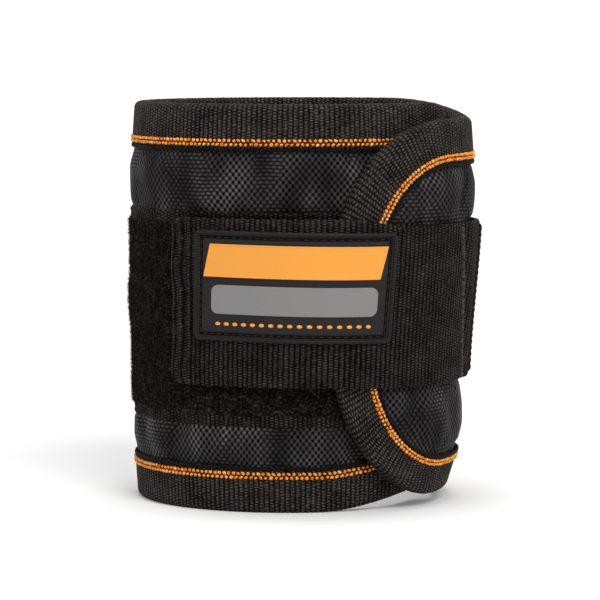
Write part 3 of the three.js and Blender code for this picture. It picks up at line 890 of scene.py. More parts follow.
def stripe(prefix, sheet, side):
    """Two rows of orange stitches on a dark orange ground, and the selvage beside them."""
    made = []
    path, along = sheet.edge_path(side, 0.6)
    middle = sum(STRIPE_ROW_EDGES) / 2
    across = np.array([-0.5, -0.3, 0, 0.3, 0.5]) * STRIPE_WIDTH + middle
    top = TAPE_STAND + np.array([0.02, 0.16, 0.2, 0.16, 0.02])
    columns = [row[:, None] for row in path]
    section_edge = np.concatenate([across, across[::-1]])
    section_stand = np.concatenate([top, 0 * top + TAPE_STAND - 0.1])
    points = sheet.edge_point(columns, section_edge, section_stand)
    weave = pairs(along[:, None], section_edge)
    made.append(sweep(f"{prefix}_ground", points, weave, ORANGE_BASE))
    path, _ = sheet.edge_path(side, STRIPE_PITCH)
    rows = []
    for row, edge in enumerate(STRIPE_ROW_EDGES):
        half = (path[:, 1:] + path[:, :-1]) / 2 if row else path
        spots, forward, sideways, up = edge_frames(sheet, half, edge, TAPE_STAND + 0.2)
        forward, sideways = slanted(forward, sideways, STITCH_SLANT if row else -STITCH_SLANT)
        rows.append((spots, forward, sideways, up))
    joined = [np.concatenate(parts) for parts in zip(*rows)]
    size = np.array(STITCH_SIZE) * rng.uniform(0.68, 1.18, (len(joined[0]), 3))
    joined[0] = joined[0] + joined[1] * rng.normal(0, 0.06, (len(size), 1))
    made.append(beads(f"{prefix}_stitches", *joined, size, ORANGE))
    path, _ = sheet.edge_path(side, SELVAGE_PITCH)
    spots, forward, sideways, up = edge_frames(sheet, path, SELVAGE_EDGE, TAPE_STAND)
    forward, sideways = slanted(forward, sideways, SELVAGE_SLANT)
    made.append(beads(f"{prefix}_selvage", spots, forward, sideways, up, SELVAGE_SIZE, CORD))
    return made


def waves(u, v, seed, count, longest, shortest, slant):
    """A smooth uneven field of about unit height: waves of mixed lengths and directions."""
    own = np.random.default_rng(seed)
    total = 0 * u + 0 * v
    for _ in range(count):
        size = own.uniform(shortest, longest)
        turn = math.radians(slant + own.normal(0, 25))
        phase = own.uniform(0, 2 * math.pi)
        way = u * math.cos(turn) + v * math.sin(turn)
        total = total + np.sin(2 * math.pi * way / size + phase)
    return total / math.sqrt(count / 2)


def cloth_waves(sheet, bearing, height):
    """The long soft waves of the nylon before it settles."""
    return waves(sheet.along(bearing), height, 3, 9, 16, 7, 25)


def magnet_lift(sheet, bearing, height):
    """A soft round lift over each magnet."""
    places = FLAP_MAGNET_BEARINGS if sheet.body == "flap" else BAND_MAGNET_BEARINGS
    lift = 0 * bearing + 0 * height
    for at in places:
        rows = (
            sheet.lower(at) + MAGNET_ROW_MARGIN,
            sheet.middle(at),
            sheet.upper(at) - MAGNET_ROW_MARGIN,
        )
        for row in rows:
            away = np.hypot(length_of(bearing - at), height - row)
            away = away / (MAGNET_RADIUS + MAGNET_LIFT_MARGIN)
            lift = np.maximum(lift, np.exp(-(away**4)))
    return lift


def patch_rows(height):
    """How far a height lies inside the loop patch, less than 0 beyond its seams."""
    return np.minimum(height - LOOP_LOWER_MARGIN, BAND_HEIGHT - LOOP_UPPER_MARGIN - height)


def under_strap(bearing, height):
    """1 where the strap presses on the cloth below it, and 0 beyond its edges."""
    inside = strap_half(bearing) - np.abs(height - strap_middle(bearing))
    before = length_of(bearing - STRAP_TIP_BEARING)
    behind = length_of(STRAP_ANCHOR_BEARING - bearing)
    return smooth((np.minimum(np.minimum(before, behind), inside) + 1.8) / 2)


def swell(sheet, bearing, height, edge):
    """How far the padding's outer face stands out: crowned between its seams."""
    crown = OPEN_CROWN
    if sheet is MAIN:
        patched = smooth(length_of(bearing - LOOP_END_BEARING) / 3)
        inside = patch_rows(height)
        high = height > BAND_HEIGHT / 2
        beside = np.where(high, UPPER_CROWN, LOWER_CROWN)
        seam = np.where(high, UPPER_SEAM_RISE, LOWER_SEAM_RISE)
        beside = np.where(inside > 0, PATCH_CROWN, beside)
        level = lerp(seam, beside, smooth(np.abs(inside) / 5))
        crown = lerp(OPEN_CROWN, level, patched)
    lift = crown + MAGNET_RISE * magnet_lift(sheet, bearing, height)
    near = smooth((edge - TAPE_REACH + 0.4) / 5)
    lift = near * lerp(lift, STRAP_PRESS, under_strap(bearing, height))
    return lift - TAPE_CREASE * np.exp(-(((edge - TAPE_REACH - 0.4) / 0.9) ** 2))


def ply_grid(sheet, step):
    """Bearings and heights that fill a sheet inside its binding, with a blunt cap."""
    count = 2 * max(int(abs(length_of(sheet.end - sheet.start)) / step / 2), 1)
    bearings = np.linspace(sheet.start, sheet.end, count + 1)
    low = np.ones(len(bearings))
    high = np.ones(len(bearings))
    if sheet.cap:
        turn = np.radians(np.linspace(0, 88, 2 * int(0.8 * sheet.cap / step) + 3))[1:]
        along = np.sin(turn)
        capped = sheet.end + sheet.way * arc((sheet.cap - PLY_INSET) * along)
        bearings = np.concatenate([bearings, capped])
        low = np.concatenate([low, superellipse(along, sheet.lower_squareness)])
        high = np.concatenate([high, superellipse(along, sheet.upper_squareness)])
    shares = np.linspace(-1, 1, int(BAND_HEIGHT / step) | 1)[:, None]
    reach = np.where(shares > 0, high, low) * (sheet.half(bearings) - PLY_INSET)
    height = sheet.middle(bearings) + shares * reach
    return bearings[None, :] + 0 * height, height


def settled(sheet, bearing, height, edge):
    """Lets the nylon settle as cloth that is held along its seams, and says how far it moved."""
    stand = swell(sheet, bearing, height, edge)
    start = stand + UNSETTLED_WAVE * cloth_waves(sheet, bearing, height)
    points = sheet.point(bearing, height, start, edge)
    out = unit(sheet.point(bearing, height, start + 0.5, edge) - points)
    held = (edge < TAPE_REACH + 0.3) | (under_strap(bearing, height) > 0.6)
    if sheet is MAIN:
        turned = bearing > LOOP_END_BEARING - arc(0.6)
        held = held | (turned & (patch_rows(height) > -0.6))
    held[:, [0, -1]] = True
    rows, columns = bearing.shape
    at = np.arange(rows * columns).reshape(rows, columns)
    quads = grid_faces(at)[:, :: sheet.way]
    scale = CLOTH_SCALE * MM
    mesh = bpy.data.meshes.new("cloth")
    mesh.from_pydata((points.reshape(-1, 3) * scale).tolist(), [], quads.tolist())
    piece = placed("cloth", mesh)
    group = piece.vertex_groups.new(name="held")
    group.add(at[held].tolist(), 1.0, "REPLACE")
    cloth = piece.modifiers.new("cloth", "CLOTH")
    for name, value in FABRIC.items():
        setattr(cloth.settings, name, value)
    cloth.settings.effector_weights.gravity = 0
    cloth.collision_settings.use_collision = False
    for number in range(1, CLOTH_FRAMES + 1):
        bpy.context.scene.frame_set(number)
    rested = piece.evaluated_get(bpy.context.evaluated_depsgraph_get()).data
    places = np.zeros(len(rested.vertices) * 3)
    rested.vertices.foreach_get("co", places)
    bpy.data.objects.remove(piece)
    bpy.data.meshes.remove(mesh)
    bpy.context.scene.frame_set(1)
    drawn = sheet.point(bearing, height, stand, edge)
    gone = np.einsum("rcd,rcd->rc", places.reshape(rows, columns, 3) / scale - drawn, out)
    gone = np.where(held, 0, gone)
    limit = np.where(gone > 0, CREASE_OUT, CREASE_IN)
    return limit * np.tanh(gone / limit)


def doubled(field):
    """Doubles a grid along its first axis, with smooth values between its own."""
    before = 2 * field[:1] - field[1:2]
    after = 2 * field[-1:] - field[-2:-1]
    padded = np.concatenate([before, field, after])
    result = np.empty((2 * len(field) - 1, *field.shape[1:]))
    result[::2] = field
    result[1::2] = (9 * (padded[1:-2] + padded[2:-1]) - padded[:-3] - padded[3:]) / 16
    return result


def creases(sheet, bearing, height, edge):
    """The settled cloth's creases on a grid: every second row and column is cloth."""
    even = (slice(None, None, 2), slice(None, None, 2))
    field = settled(sheet, bearing[even], height[even], edge[even])
    return doubled(doubled(field).T).T


def nylon_face(sheet, bearing, height, edge):
    """How far the nylon's outer face stands out, swollen over the padding and creased."""
    return swell(sheet, bearing, height, edge) + creases(sheet, bearing, height, edge)


def ply(name, sheet, outer, inner, step, material):
    """A layer of a sheet between two stands, of which the outer one may be worked out."""
    bearing, height = ply_grid(sheet, step)
    edge = sheet.edge_distance(bearing, height)
    if callable(outer):
        outer = outer(sheet, bearing, height, edge)
    top = sheet.point(bearing, height, outer, edge)
    low = sheet.point(bearing, height, inner, edge)
    return slab(name, top, low, pairs(sheet.along(bearing), height), material)


def flap_edge_bearing(height):
    """The bearing of the flap's round edge at a height."""
    rise = height - FLAP.middle(FLAP.end)
    share = np.abs(rise) / FLAP.half(FLAP.end)
    power = np.where(rise > 0, FLAP_UPPER_SQUARENESS, FLAP_LOWER_SQUARENESS)
    return FLAP.end - arc(FLAP_ROUND) * np.clip(1 - share**power, 0, None) ** (1 / power)


def loop_rows(height):
    """How far the pile stands above its ground at a height."""
    inside = patch_rows(height) - LOOP_SELVAGE + PILE_LAP
    return lerp(0.3, LOOP_HEIGHT, smooth(inside / 0.8))


def pile_relief(u, height):
    """How far the pile stands above its ground, in its soft uneven rows."""
    fuzz = 0.07 * waves(u, height, 11, 12, 3.4, 1.3, 0)
    return loop_rows(height) + fuzz + 0.05 * waves(u, height, 17, 9, 9, 5, 80)


def selvage_relief(u, height):
    """How far a ribbed edge of the loop patch stands above the ground, drawn in by its seam."""
    edge = np.abs(patch_rows(height))
    ribs = 0.2 * np.abs(np.sin(np.pi * u)) ** 0.8 * smooth(edge / 0.8)
    seam = 0.14 * np.exp(-(((edge - 1.3) / 0.35) ** 2))
    return 0.3 * smooth((edge + 0.15) / 0.5) + ribs - seam - 0.15


def loop_cover(name, low, high, rows, columns, relief, back, material):
    """A layer on the loop patch between two heights, from its relief down to its back."""
    heights = np.linspace(low, high, rows)[:, None]
    start = flap_edge_bearing(heights) + arc(LOOP_TUCK)
    bearing = lerp(start, LOOP_END_BEARING, np.linspace(0, 1, columns)[None, :])
    height = heights + 0 * bearing
    ground = swell(MAIN, bearing, height, MAIN.edge_distance(bearing, height)) + PLY_GAP
    u = MAIN.along(bearing)
    top = MAIN.point(bearing, height, ground + relief(u, height), TAPE_LEG)
    below = MAIN.point(bearing, height, ground - back, TAPE_LEG)
    return slab(name, top, below, pairs(u, height), material)


def strands(name, roots, up, lean, length, radius, material):
    """Short bent fibres: each a tapered three-sided tube that ends in a point."""
    side = unit(np.cross(up, lean))
    across = unit(np.cross(side, up))
    count = len(roots)
    rings = []
    for share, thick in ((0.0, 1.0), (0.45, 0.9), (0.8, 0.6)):
        middle = roots + (up * share + lean * share**2) * length[:, None]
        for turn in (0, 2 * math.pi / 3, 4 * math.pi / 3):
            out = side * math.cos(turn) + across * math.sin(turn)
            rings.append(middle + radius * thick * out)
    tip = roots + (up * 0.95 + lean) * length[:, None]
    points = np.stack([*rings, tip], 1)
    faces = []
    for low in (0, 3):
        for k in range(3):
            after = (k + 1) % 3
            faces.append((low + k, low + after, low + 3 + after, low + 3 + k))
    base = np.arange(count)[:, None, None] * 10
    quads = (np.array(faces)[None] + base).reshape(-1, 4).tolist()
    ends = np.array([(6, 7, 9), (7, 8, 9), (8, 6, 9)])
    feet = np.array([(2, 1, 0)])
    tips = (np.concatenate([ends, feet])[None] + base).reshape(-1, 3).tolist()
    weave = np.repeat(rng.uniform(0, 300, (count, 2)), 10, axis=0)
    return build(name, points, quads + tips, weave, material, 80)


def loop_fuzz():
    """Loose fibres that stand on the pile."""
    count = FUZZ_COUNTS[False]
    low = LOOP_LOWER_MARGIN + LOOP_SELVAGE - 0.2
    high = BAND_HEIGHT - LOOP_UPPER_MARGIN - LOOP_SELVAGE + 0.2
    height = rng.uniform(low, high, count)
    bearing = rng.uniform(LOOP_END_BEARING + 1, flap_edge_bearing(height) - 1, count)
    edge = MAIN.edge_distance(bearing, height)
    stand = swell(MAIN, bearing, height, edge) + PLY_GAP + loop_rows(height)
    roots = MAIN.point(bearing, height, stand - 0.1, TAPE_LEG)
    up = unit(MAIN.point(bearing, height, stand + 0.3, TAPE_LEG) - roots)
    lean = rng.normal(0, 0.55, (count, 3))
    lean -= up * np.einsum("ij,ij->i", lean, up)[:, None]
    room = np.where(bearing > STRAP_TIP_BEARING - 1, 0.25, 0.62)
    length = room * rng.uniform(0.6, 1.3, count)
    return strands("loop_patch_fuzz", roots, up, lean, length, FUZZ_RADIUS, PILE)


def strap_taper(bearing):
    return smooth((bearing - STRAP_TAPER_BEARING) / STRAP_TAPER_SPAN)


def strap_middle(bearing):
    """The height of the strap's middle, which runs down a little towards the seam."""
    return STRAP_MID_HEIGHT - STRAP_DROP * strap_taper(bearing)


def seam_bearing(height):
    """The bearing of the strap's slanting seam at a height."""
    share = (STRAP_MID_HEIGHT - STRAP_DROP - height) / STRAP_WIDTH_AT_SEAM + 0.5
    return STRAP_SEAM_BEARING + STRAP_SEAM_SHIFT + STRAP_SEAM_SLANT * share


def strap_rise(bearing, height):
    """The strap's inner face above the ring: over the flap, then down on the loop patch."""
    climb = (STRAP_CLIMB_BEARING - bearing) / (STRAP_CLIMB_BEARING - STRAP_CLIMBED_BEARING)
    over_flap = SEAT_GAP + STRIPE_STAND * smooth(climb)
    over_loop = 2 * PLY_GAP + LOOP_HEIGHT + HOOK_HEIGHT + SEAT_GAP - tuck(bearing)
    bend = (bearing - STRAP_PRESS_BEARING) / (STRAP_BEND_BEARING - STRAP_PRESS_BEARING)
    past = bearing - seam_bearing(height)
    hem = smooth((past - HEM_START) / HEM_CLIMB)
    hem = hem * (1 - smooth((bearing - HEM_BEARING) / HEM_FALL))
    dip = SEAM_DIP * np.exp(-((past / SEAM_DIP_BEARING) ** 2))
    return lerp(over_loop, over_flap, smooth(bend)) + HEM_HEIGHT * hem - dip


def strap_point(bearing, height, stand):
    radius = ring_radius(bearing, height) + strap_rise(bearing, height) + stand
    return ring_point(bearing, height, radius)


def strap_half(bearing):
    return lerp(STRAP_WIDTH, STRAP_WIDTH_AT_SEAM, strap_taper(bearing)) / 2


def web_rib(u):
    ridge = np.abs(np.sin(np.pi * u / WEB_RIB_PITCH)) ** 0.6
    notch = np.abs(np.sin(2 * np.pi * u / WEB_RIB_PITCH)) ** 0.6
    return WEB_RIB_HEIGHT * (0.65 * ridge + 0.35 * notch)


def strap_webbing():
    """One length of webbing from its free tip to its sewn end."""
    span = length_of(STRAP_ANCHOR_BEARING - STRAP_TIP_BEARING)
    u = np.arange(0, span, WEB_RIB_PITCH / 8)[None, :]
    bearing = STRAP_TIP_BEARING + arc(1) * u
    share = np.concatenate([[0, 0.01, 0.025, 0.05], np.linspace(0.08, 1, 20)])
    share = np.concatenate([share - 1, 1 - share[-2::-1]])[:, None]
    corner = np.clip(STRAP_CORNER - u, 0, None)
    cut = STRAP_CORNER - np.sqrt(STRAP_CORNER**2 - corner**2)
    height = strap_middle(bearing) + (strap_half(bearing) - cut) * share
    edge = (1 - np.abs(share)) * STRAP_WIDTH / 2
    worn = 0.3 * np.clip(1 - edge / 0.9, 0, 1) ** 2 + 0.3 * np.clip(1 - u / 0.9, 0, 1) ** 2
    rib = web_rib(u) * np.clip(edge / 0.5, 0.35, 1)
    beside_label = np.exp(-(((u - 3.4) / 2.4) ** 2))
    wander = 0.3 * waves(0 * u, height, 23, 7, 24, 9, 90) * np.exp(-u / 4.5)
    crease = 0.48 * np.sin(2 * np.pi * (u + 1.6 * wander) / 2.3) * beside_label
    bearing = bearing + arc(wander)
    rib = rib - WEB_RIB_HEIGHT / 2
    outer = strap_point(bearing, height, STRAP_THICKNESS - worn + rib + crease)
    inner = strap_point(bearing, height, worn + crease - rib)
    return slab("strap_cloth", outer, inner, pairs(u, height), WEBBING, 60)


def stitch_row(name, place, low, high, pitch, stand, size, slant=0, material=THREAD):
    """A row of stitches up the strap, at the bearing that place gives for each height."""
    heights = np.arange(low, high, pitch)
    bearing = place(heights)
    spots = strap_point(bearing, heights, stand)
    up = unit(strap_point(bearing, heights, stand + 0.2) - spots)
    along = unit(strap_point(bearing, heights + 0.2, stand) - spots)
    across = unit(np.cross(up, along))
    along, across = slanted(along, across, slant)
    return beads(name, spots, along, across, up, size, material)


def patch_grid(width, height, corner, fine=0.16, rim=2.4, coarse=0.9):
    """Lengths along and across a rounded rectangle, close together near its edge."""

    def ticks(half):
        inside = np.arange(0, half - rim, coarse)
        near = half - np.arange(0, rim, fine)[::-1]
        side = np.concatenate([inside[inside < near[0] - fine], near])
        return np.concatenate([-side[:0:-1], side])

    v = ticks(height / 2)[:, None]
    past = np.clip(np.abs(v) - (height / 2 - corner), 0, corner)
    half = width / 2 - corner + np.sqrt(corner**2 - past**2)
    u = ticks(width / 2)[None, :] / (width / 2) * half
    inside = np.minimum(half - np.abs(u), height / 2 - np.abs(v))
    return u, v + 0 * u, inside


def label_point(u, v, stand):
    """A place on the label, which was sewn on slightly turned."""
    turn = math.radians(LABEL_TILT)
    along = u * math.cos(turn) + v * math.sin(turn)
    up = v * math.cos(turn) - u * math.sin(turn)
    middle = STRAP_MID_HEIGHT + STRAP_WIDTH / 2 - LABEL_UPPER_MARGIN - LABEL_HEIGHT / 2
    return strap_point(LABEL_MID_BEARING + arc(along), middle + up, STRAP_THICKNESS + stand)


def label_patch(name, size, centre, corner, base, top, material, slant=0, fine=0.16, rim=2.4):
    """A slab on the label with round corners, its top given by the distance to its edge."""
    u, v, inside = patch_grid(*size, corner, fine, min(rim, min(size) / 2 - 0.05))
    along = centre[0] + u + slant * v
    up = centre[1] + v
    outer = label_point(along, up, top(inside))
    return slab(name, outer, label_point(along, up, base), pairs(u, v), material, 50)


def rounded(inside, top, bevel):
    """A flat top that falls off round its edge."""
    past = 1 - np.clip(inside / bevel, 0, 1)
    return top - bevel * (1 - np.sqrt(1 - past**2))


def label_top(inside):
    """The label's face, with a groove inside its rim."""
    near = smooth((inside - RIM_WIDTH) / 0.25)
    far = 1 - smooth((inside - LABEL_GROOVE_WIDTH + 0.3) / 0.3)
    return LABEL_BASE - LABEL_GROOVE_DEPTH * near * far - 0.3 * (1 - smooth(inside / 0.3))


def upper_panel_top(inside):
    """The orange panel's face, with a thin raised line along its edge."""
    line = 1 - smooth((inside - 0.3) / 0.12)
    return rounded(inside, LABEL_BASE + PANEL_HEIGHT - 0.08, 0.12) + 0.1 * line


def lower_panel_top(inside):
    return rounded(inside, LABEL_BASE + PANEL_HEIGHT, 0.25)


def label_ring(inset, corner, step):
    """Places round the label: the middles of its corner arcs, and the way outwards."""
    half_u = LABEL_WIDTH / 2 - inset - corner
    half_v = LABEL_HEIGHT / 2 - inset - corner
    places = []
    for quarter, (su, sv) in enumerate(((1, 1), (-1, 1), (-1, -1), (1, -1))):
        for turn in np.radians(np.linspace(0, 90, 9) + 90 * quarter):
            places.append((su * half_u, sv * half_v, math.cos(turn), math.sin(turn)))
        length = 2 * (half_u if quarter % 2 == 0 else half_v)
        start = np.array(places[-1])
        along = np.array([-start[3], start[2]])
        for gone in np.arange(step, length - step / 2, step):
            places.append((*(start[:2] + along * gone), start[2], start[3]))
    return np.array(places).T


def label_loop(name, inset, corner, across, stand, material, sharp=40):
    """A closed bar round the label, with a section given across and above it."""
    u0, v0, nu, nv = label_ring(inset, corner, 0.7)[:, :, None]
    u = u0 + nu * (corner + across)
    v = v0 + nv * (corner + across)
    return sweep(name, label_point(u, v, stand), pairs(u, v), material, True, sharp)


def label_rim():
    """A half-round rim along the label's edge."""
    inset = RIM_WIDTH / 2
    corner = LABEL_CORNER - inset + 0.2
    turn = np.radians(np.linspace(0, 180, 9))
    across = np.concatenate([np.cos(turn), [-1, 1]]) * RIM_WIDTH / 2
    stand = np.concatenate([RIM_HEIGHT * np.sin(turn), [-0.3, -0.3]]) + LABEL_BASE - 0.05
    return label_loop("label_rim_bead", inset, corner, across, stand, RIM_RUBBER, 70)


def label_groove():
    """The dark bed of the groove inside the rim."""
    across = np.array([-1, 1, 1, -1]) * (LABEL_GROOVE_WIDTH - RIM_WIDTH) / 2
    stand = LABEL_BASE - LABEL_GROOVE_DEPTH + np.array([0.06, 0.06, -0.1, -0.1])
    return label_loop("label_groove_bed", GROOVE_INSET, 0.4, across, stand, GROOVE)


def label_beads(name, u, v, turn, stand, size, material):
    """Small raised beads on the label, each turned in its plane."""
    spots = label_point(u, v, stand)
    right = unit(label_point(u + 0.2, v, stand) - spots)
    above = unit(label_point(u, v + 0.2, stand) - spots)
    up = unit(label_point(u, v, stand + 0.2) - spots)
    along = right * np.cos(turn)[:, None] + above * np.sin(turn)[:, None]
    return beads(name, spots, along, np.cross(up, along), up, size, material)


def label_stitches():
    """The thread that holds the label, sunk in its groove."""
    corner = 0.3
    u0, v0, nu, nv = label_ring(GROOVE_INSET, corner, 0.3)
    path = np.stack([u0 + nu * corner, v0 + nv * corner])
    path = np.concatenate([path, path[:, :1]], axis=1)
    steps = np.diff(path, axis=1)
    gone = np.concatenate([[0], np.cumsum(np.hypot(*steps))])
    count = int(gone[-1] / LABEL_STITCH_PITCH)
    even = np.linspace(0, gone[-1], count, endpoint=False) + 0.4
    u, v = [np.interp(even, gone, row) for row in path]
    ahead = [np.interp(even + 0.1, gone, row) for row in path]
    turn = np.arctan2(ahead[1] - v, ahead[0] - u)
    stand = LABEL_BASE - LABEL_GROOVE_DEPTH + 0.08
    return label_beads("label_stitches", u, v, turn, stand, LABEL_STITCH_SIZE, RUBBER)


def label_dashes():
    """A plain row of small raised dashes below the panels."""
    u = DASH_PITCH * (np.arange(DASH_COUNT) - (DASH_COUNT - 1) / 2) + LOWER_PANEL[3]
    v = 0 * u + LABEL_HEIGHT / 2 - DASH_DROP
    return label_beads("label_dashes", u, v, 0 * u, LABEL_BASE, DASH_SIZE, LABEL_ORANGE)


def label():
    """The soft label: its body, rim, stitches and plain panels."""
    size = (LABEL_WIDTH, LABEL_HEIGHT)
    body = label_patch("label_body", size, (0, 0), LABEL_CORNER, 0.02, label_top, RUBBER)
    made = {
        "body": body,
        "rim": label_rim(),
        "groove": label_groove(),
        "stitches": label_stitches(),
        "dashes": label_dashes(),
    }
    for key, panel, corner, top, slant, material in (
        ("upper", UPPER_PANEL, 0.15, upper_panel_top, UPPER_PANEL_SLANT, LABEL_ORANGE),
        ("lower", LOWER_PANEL, LOWER_PANEL_CORNER, lower_panel_top, 0, LABEL_GREY),
    ):
        centre = (panel[3], LABEL_HEIGHT / 2 - panel[2] - panel[1] / 2)
        shape = (panel[:2], centre, corner, LABEL_BASE - 0.1, top, material, slant, 0.06, 1.7)
        made[key] = label_patch(f"label_{key}_face", *shape)
    return made


def hook_patch():
    """The hook side of the closure, under the strap."""
    half = STRAP_WIDTH / 2 - HOOK_MARGIN
    start = STRAP_TIP_BEARING + arc(HOOK_MARGIN)
    bearing = np.linspace(start, HOOK_START_BEARING, 60)[None, :]
    height = STRAP_MID_HEIGHT + np.linspace(-half, half, 40)[:, None] + 0 * bearing
    bearing = bearing + 0 * height
    u = length_of(bearing - start)
    outer = strap_point(bearing, height, 0.0)
    inner = strap_point(bearing, height, -HOOK_BASE)
    cloth = slab("hook_patch_base", outer, inner, pairs(u, height), HOOKS)
    count = HOOK_COUNTS[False]
    bearing = rng.uniform(start + 0.5, HOOK_START_BEARING - 0.5, count)
    height = STRAP_MID_HEIGHT + rng.uniform(-half + 0.4, half - 0.4, count)
    roots = strap_point(bearing, height, -0.3)
    down = unit(strap_point(bearing, height, -0.8) - roots)
    lean = np.stack([0 * bearing, 0 * bearing, rng.choice([-0.9, 0.9], count)], -1)
    length = np.full(count, 0.5)
    return cloth, strands("hook_patch_hooks", roots, down, lean, length, HOOK_RADIUS, HOOKS)


def show(piece, slot, body, *nodes):
    """Hides the imported parts a piece stands for and hangs it on its body, or bakes its place
    if it lies across a bend; the slot is not used.
    """
    if nodes:
        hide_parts(*nodes)
    if isinstance(body, str):
        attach(piece, body)
    else:
        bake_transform(piece)


def bend_zone(bearing, way, height=BAND_HEIGHT / 2, length=BEND_ARC):
    """The start and end of the bend that crosses a hinge at a bearing."""
    radius = float(ring_radius(bearing, height))
    near = ring_point(np.float64(bearing - way * arc(length)), height, radius) * MM
    far = ring_point(np.float64(bearing + way * arc(length)), height, radius) * MM
    return tuple(near), tuple(far)


INNER_BEND = ("band", "inner_end", *bend_zone(INNER_HINGE_BEARING, 1))
FLAP_BEND = ("band", "flap", *bend_zone(FLAP_HINGE_BEARING, -1))
STRAP_BEND = ("flap", "strap", *bend_zone(STRAP_SEAM_BEARING, -1, length=2.2))


def dress_strip():
    """The plies, bindings and stripes of the strip's three stretches."""
    stretches = (
        ("inner", INNER, INNER_BEND, ("round",), "inner_end"),
        ("main", MAIN, "band", ("lower", "upper"), "band"),
        ("flap", FLAP, FLAP_BEND, ("round",), "flap"),
    )
    for name, sheet, body, sides, node in stretches:
        padding = ply(f"{name}_padding", sheet, nylon_face, -PADDING, CLOTH_STEP, NYLON)
        show(padding, "nylon_shell", body, f"{node}_shell", f"{node}_foam_core")
        faces = (LINING - WALL, -WALL)
        lining = ply(f"{name}_lining_cloth", sheet, *faces, LINING_STEP, LINING_CLOTH)
        show(lining, "lining", body, f"{node}_lining")
        for side in sides:
            middle = "" if side == "round" else f"{side}_"
            tape = binding(f"{name}_{middle}tape", sheet, side)
            show(tape, "binding", body, f"{node}_{middle}binding")
            ground, stitches, selvage = stripe(f"{name}_{middle}stripe", sheet, side)
            stood = [] if name == "inner" else [f"{node}_{middle}stripe"]
            show(ground, "stripe", body, *stood)
            show(stitches, "stripe", body)
            show(selvage, "binding", body)


def dress_closure():
    low = LOOP_LOWER_MARGIN
    high = BAND_HEIGHT - LOOP_UPPER_MARGIN
    rows = (low + LOOP_SELVAGE - PILE_LAP, high - LOOP_SELVAGE + PILE_LAP)
    pile = loop_cover("loop_patch_cloth", *rows, 100, 260, pile_relief, 0.15, PILE)
    show(pile, "loop_pile", "band", "loop_patch")
    show(loop_fuzz(), "loop_pile", "band")
    wide = LOOP_SELVAGE - PILE_LAP / 2
    for name, rows in (("lower", (low, low + wide)), ("upper", (high - wide, high))):
        name = f"loop_{name}_selvage"
        selvage = loop_cover(name, *rows, 9, 1400, selvage_relief, 0.2, WEBBING)
        show(selvage, "loop_pile", "band")
    show(strap_webbing(), "webbing", STRAP_BEND, "strap_webbing", "strap_anchor")
    low = strap_middle(STRAP_SEAM_BEARING) - STRAP_WIDTH_AT_SEAM / 2 + 0.8
    high = low + STRAP_WIDTH_AT_SEAM - 1.4
    rows = (low, high, SEAM_PITCH, STRAP_THICKNESS)
    seam = stitch_row("seam_stitches", seam_bearing, *rows, SEAM_SIZE, SEAM_STITCH_SLANT)
    show(seam, "webbing", STRAP_BEND)
    sewn = STRAP_ANCHOR_BEARING - ANCHOR_MARGIN_BEARING
    for name, bearing, margin, pitch, sunk, *finish in (
        ("anchor_stitches", sewn, 0, ANCHOR_PITCH, 0, THREAD_SIZE, 0, THREAD),
        ("hem_roll", HEM_BEARING, 1.3, HEM_PITCH, 0.05, HEM_SIZE, HEM_SLANT, WEBBING),
    ):
        rows = (low + margin, high - margin, pitch, STRAP_THICKNESS - sunk)
        row = stitch_row(name, lambda h: bearing + 0 * h, *rows, *finish)
        show(row, "webbing", "flap")
    base, hooks = hook_patch()
    show(base, "hooks", "strap", "hook_patch")
    show(hooks, "hooks", "strap")
    made = label()
    stood = {
        "body": "label_base",
        "rim": "label_rim",
        "upper": "label_upper_panel",
        "lower": "label_lower_panel",
    }
    slots = {"upper": "label_orange", "dashes": "label_orange", "lower": "label_grey"}
    for key, piece in made.items():
        nodes = [stood[key]] if key in stood else []
        show(piece, slots.get(key, "label_rubber"), "strap", *nodes)


def dress_magnets():
    for name, node in frame["nodes"].items():
        if "magnet" in name:
            node.data.materials.clear()
            node.data.materials.append(MAGNET)


def lamp(name, strength, spread, place):
    """A far, broad, soft lamp that shines from a place towards the object."""
    light = bpy.data.lights.new(name, "SUN")
    light.energy = strength
    light.angle = math.radians(spread)
    piece = placed(name, light)
    piece.rotation_mode = "QUATERNION"
    piece.rotation_quaternion = (-Vector(place)).to_track_quat("-Z", "Y")


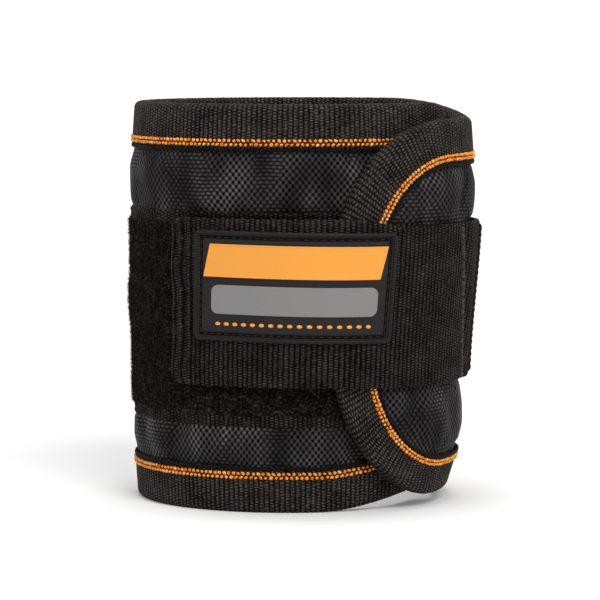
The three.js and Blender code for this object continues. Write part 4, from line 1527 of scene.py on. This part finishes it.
def studio():
    """A pale floor, soft lamps, and a white surround for the camera and reflections."""
    mesh = bpy.data.meshes.new("floor")
    sides = ((-1, -1, 0), (1, -1, 0), (1, 1, 0), (-1, 1, 0))
    mesh.from_pydata((np.array(sides) * FLOOR_REACH).tolist(), [], [(0, 1, 2, 3)])
    pale = Material("pale_floor", 0.9, specular=0)
    pale.colour((FLOOR_LEVEL, FLOOR_LEVEL, FLOOR_LEVEL, 1))
    strength = pale.calc("MULTIPLY", pale.seen(), FLOOR_GLOW)
    glow = pale.filled("ShaderNodeEmission", {"Strength": strength})
    both = pale.result("ShaderNodeAddShader", pale.shader.outputs[0], glow[0])
    pale.put(pale.tree.nodes["Material Output"].inputs["Surface"], both)
    mesh.materials.append(pale.made)
    placed("floor", mesh)

    world = bpy.data.worlds.new("studio")
    bpy.context.scene.world = world
    around = Tree(world)
    lit = around.tree.nodes["Background"]
    lit.inputs["Strength"].default_value = WORLD_LEVEL
    white = around.node("ShaderNodeBackground")
    for background in (lit, white):
        background.inputs["Color"].default_value = (1, 1, 1, 1)
    shown = (around.seen(), lit.outputs[0], white.outputs[0])
    mix = around.result("ShaderNodeMixShader", *shown)
    around.put(around.tree.nodes["World Output"].inputs["Surface"], mix)

    lamp("key", 1.5, 30, (0.45, -1, 1))
    lamp("fill", 0.35, 50, (-0.5, -1, 1.3))
    lamp("top", 1.3, 24, (0, 0.08, 1))


def camera():
    """The photograph's view: a long lens from a little above the band's upper edge."""
    view = bpy.data.cameras.new("view")
    view.sensor_width = SENSOR_WIDTH
    view.lens = FOCAL_PIXELS / FRAME_PIXELS * SENSOR_WIDTH
    piece = placed("view", view)
    piece.location = (Vector((CENTRE_X, CENTRE_Y, 0)) + Vector(CAMERA_PLACE)) * MM
    piece.rotation_euler = (math.pi / 2 - CAMERA_TILT, 0, 0)
    view.clip_start = 0.05
    view.clip_end = 100
    bpy.context.scene.camera = piece


camera()
studio()
dress_magnets()
dress_strip()
dress_closure()
bpy.context.scene.view_settings.view_transform = "Standard"
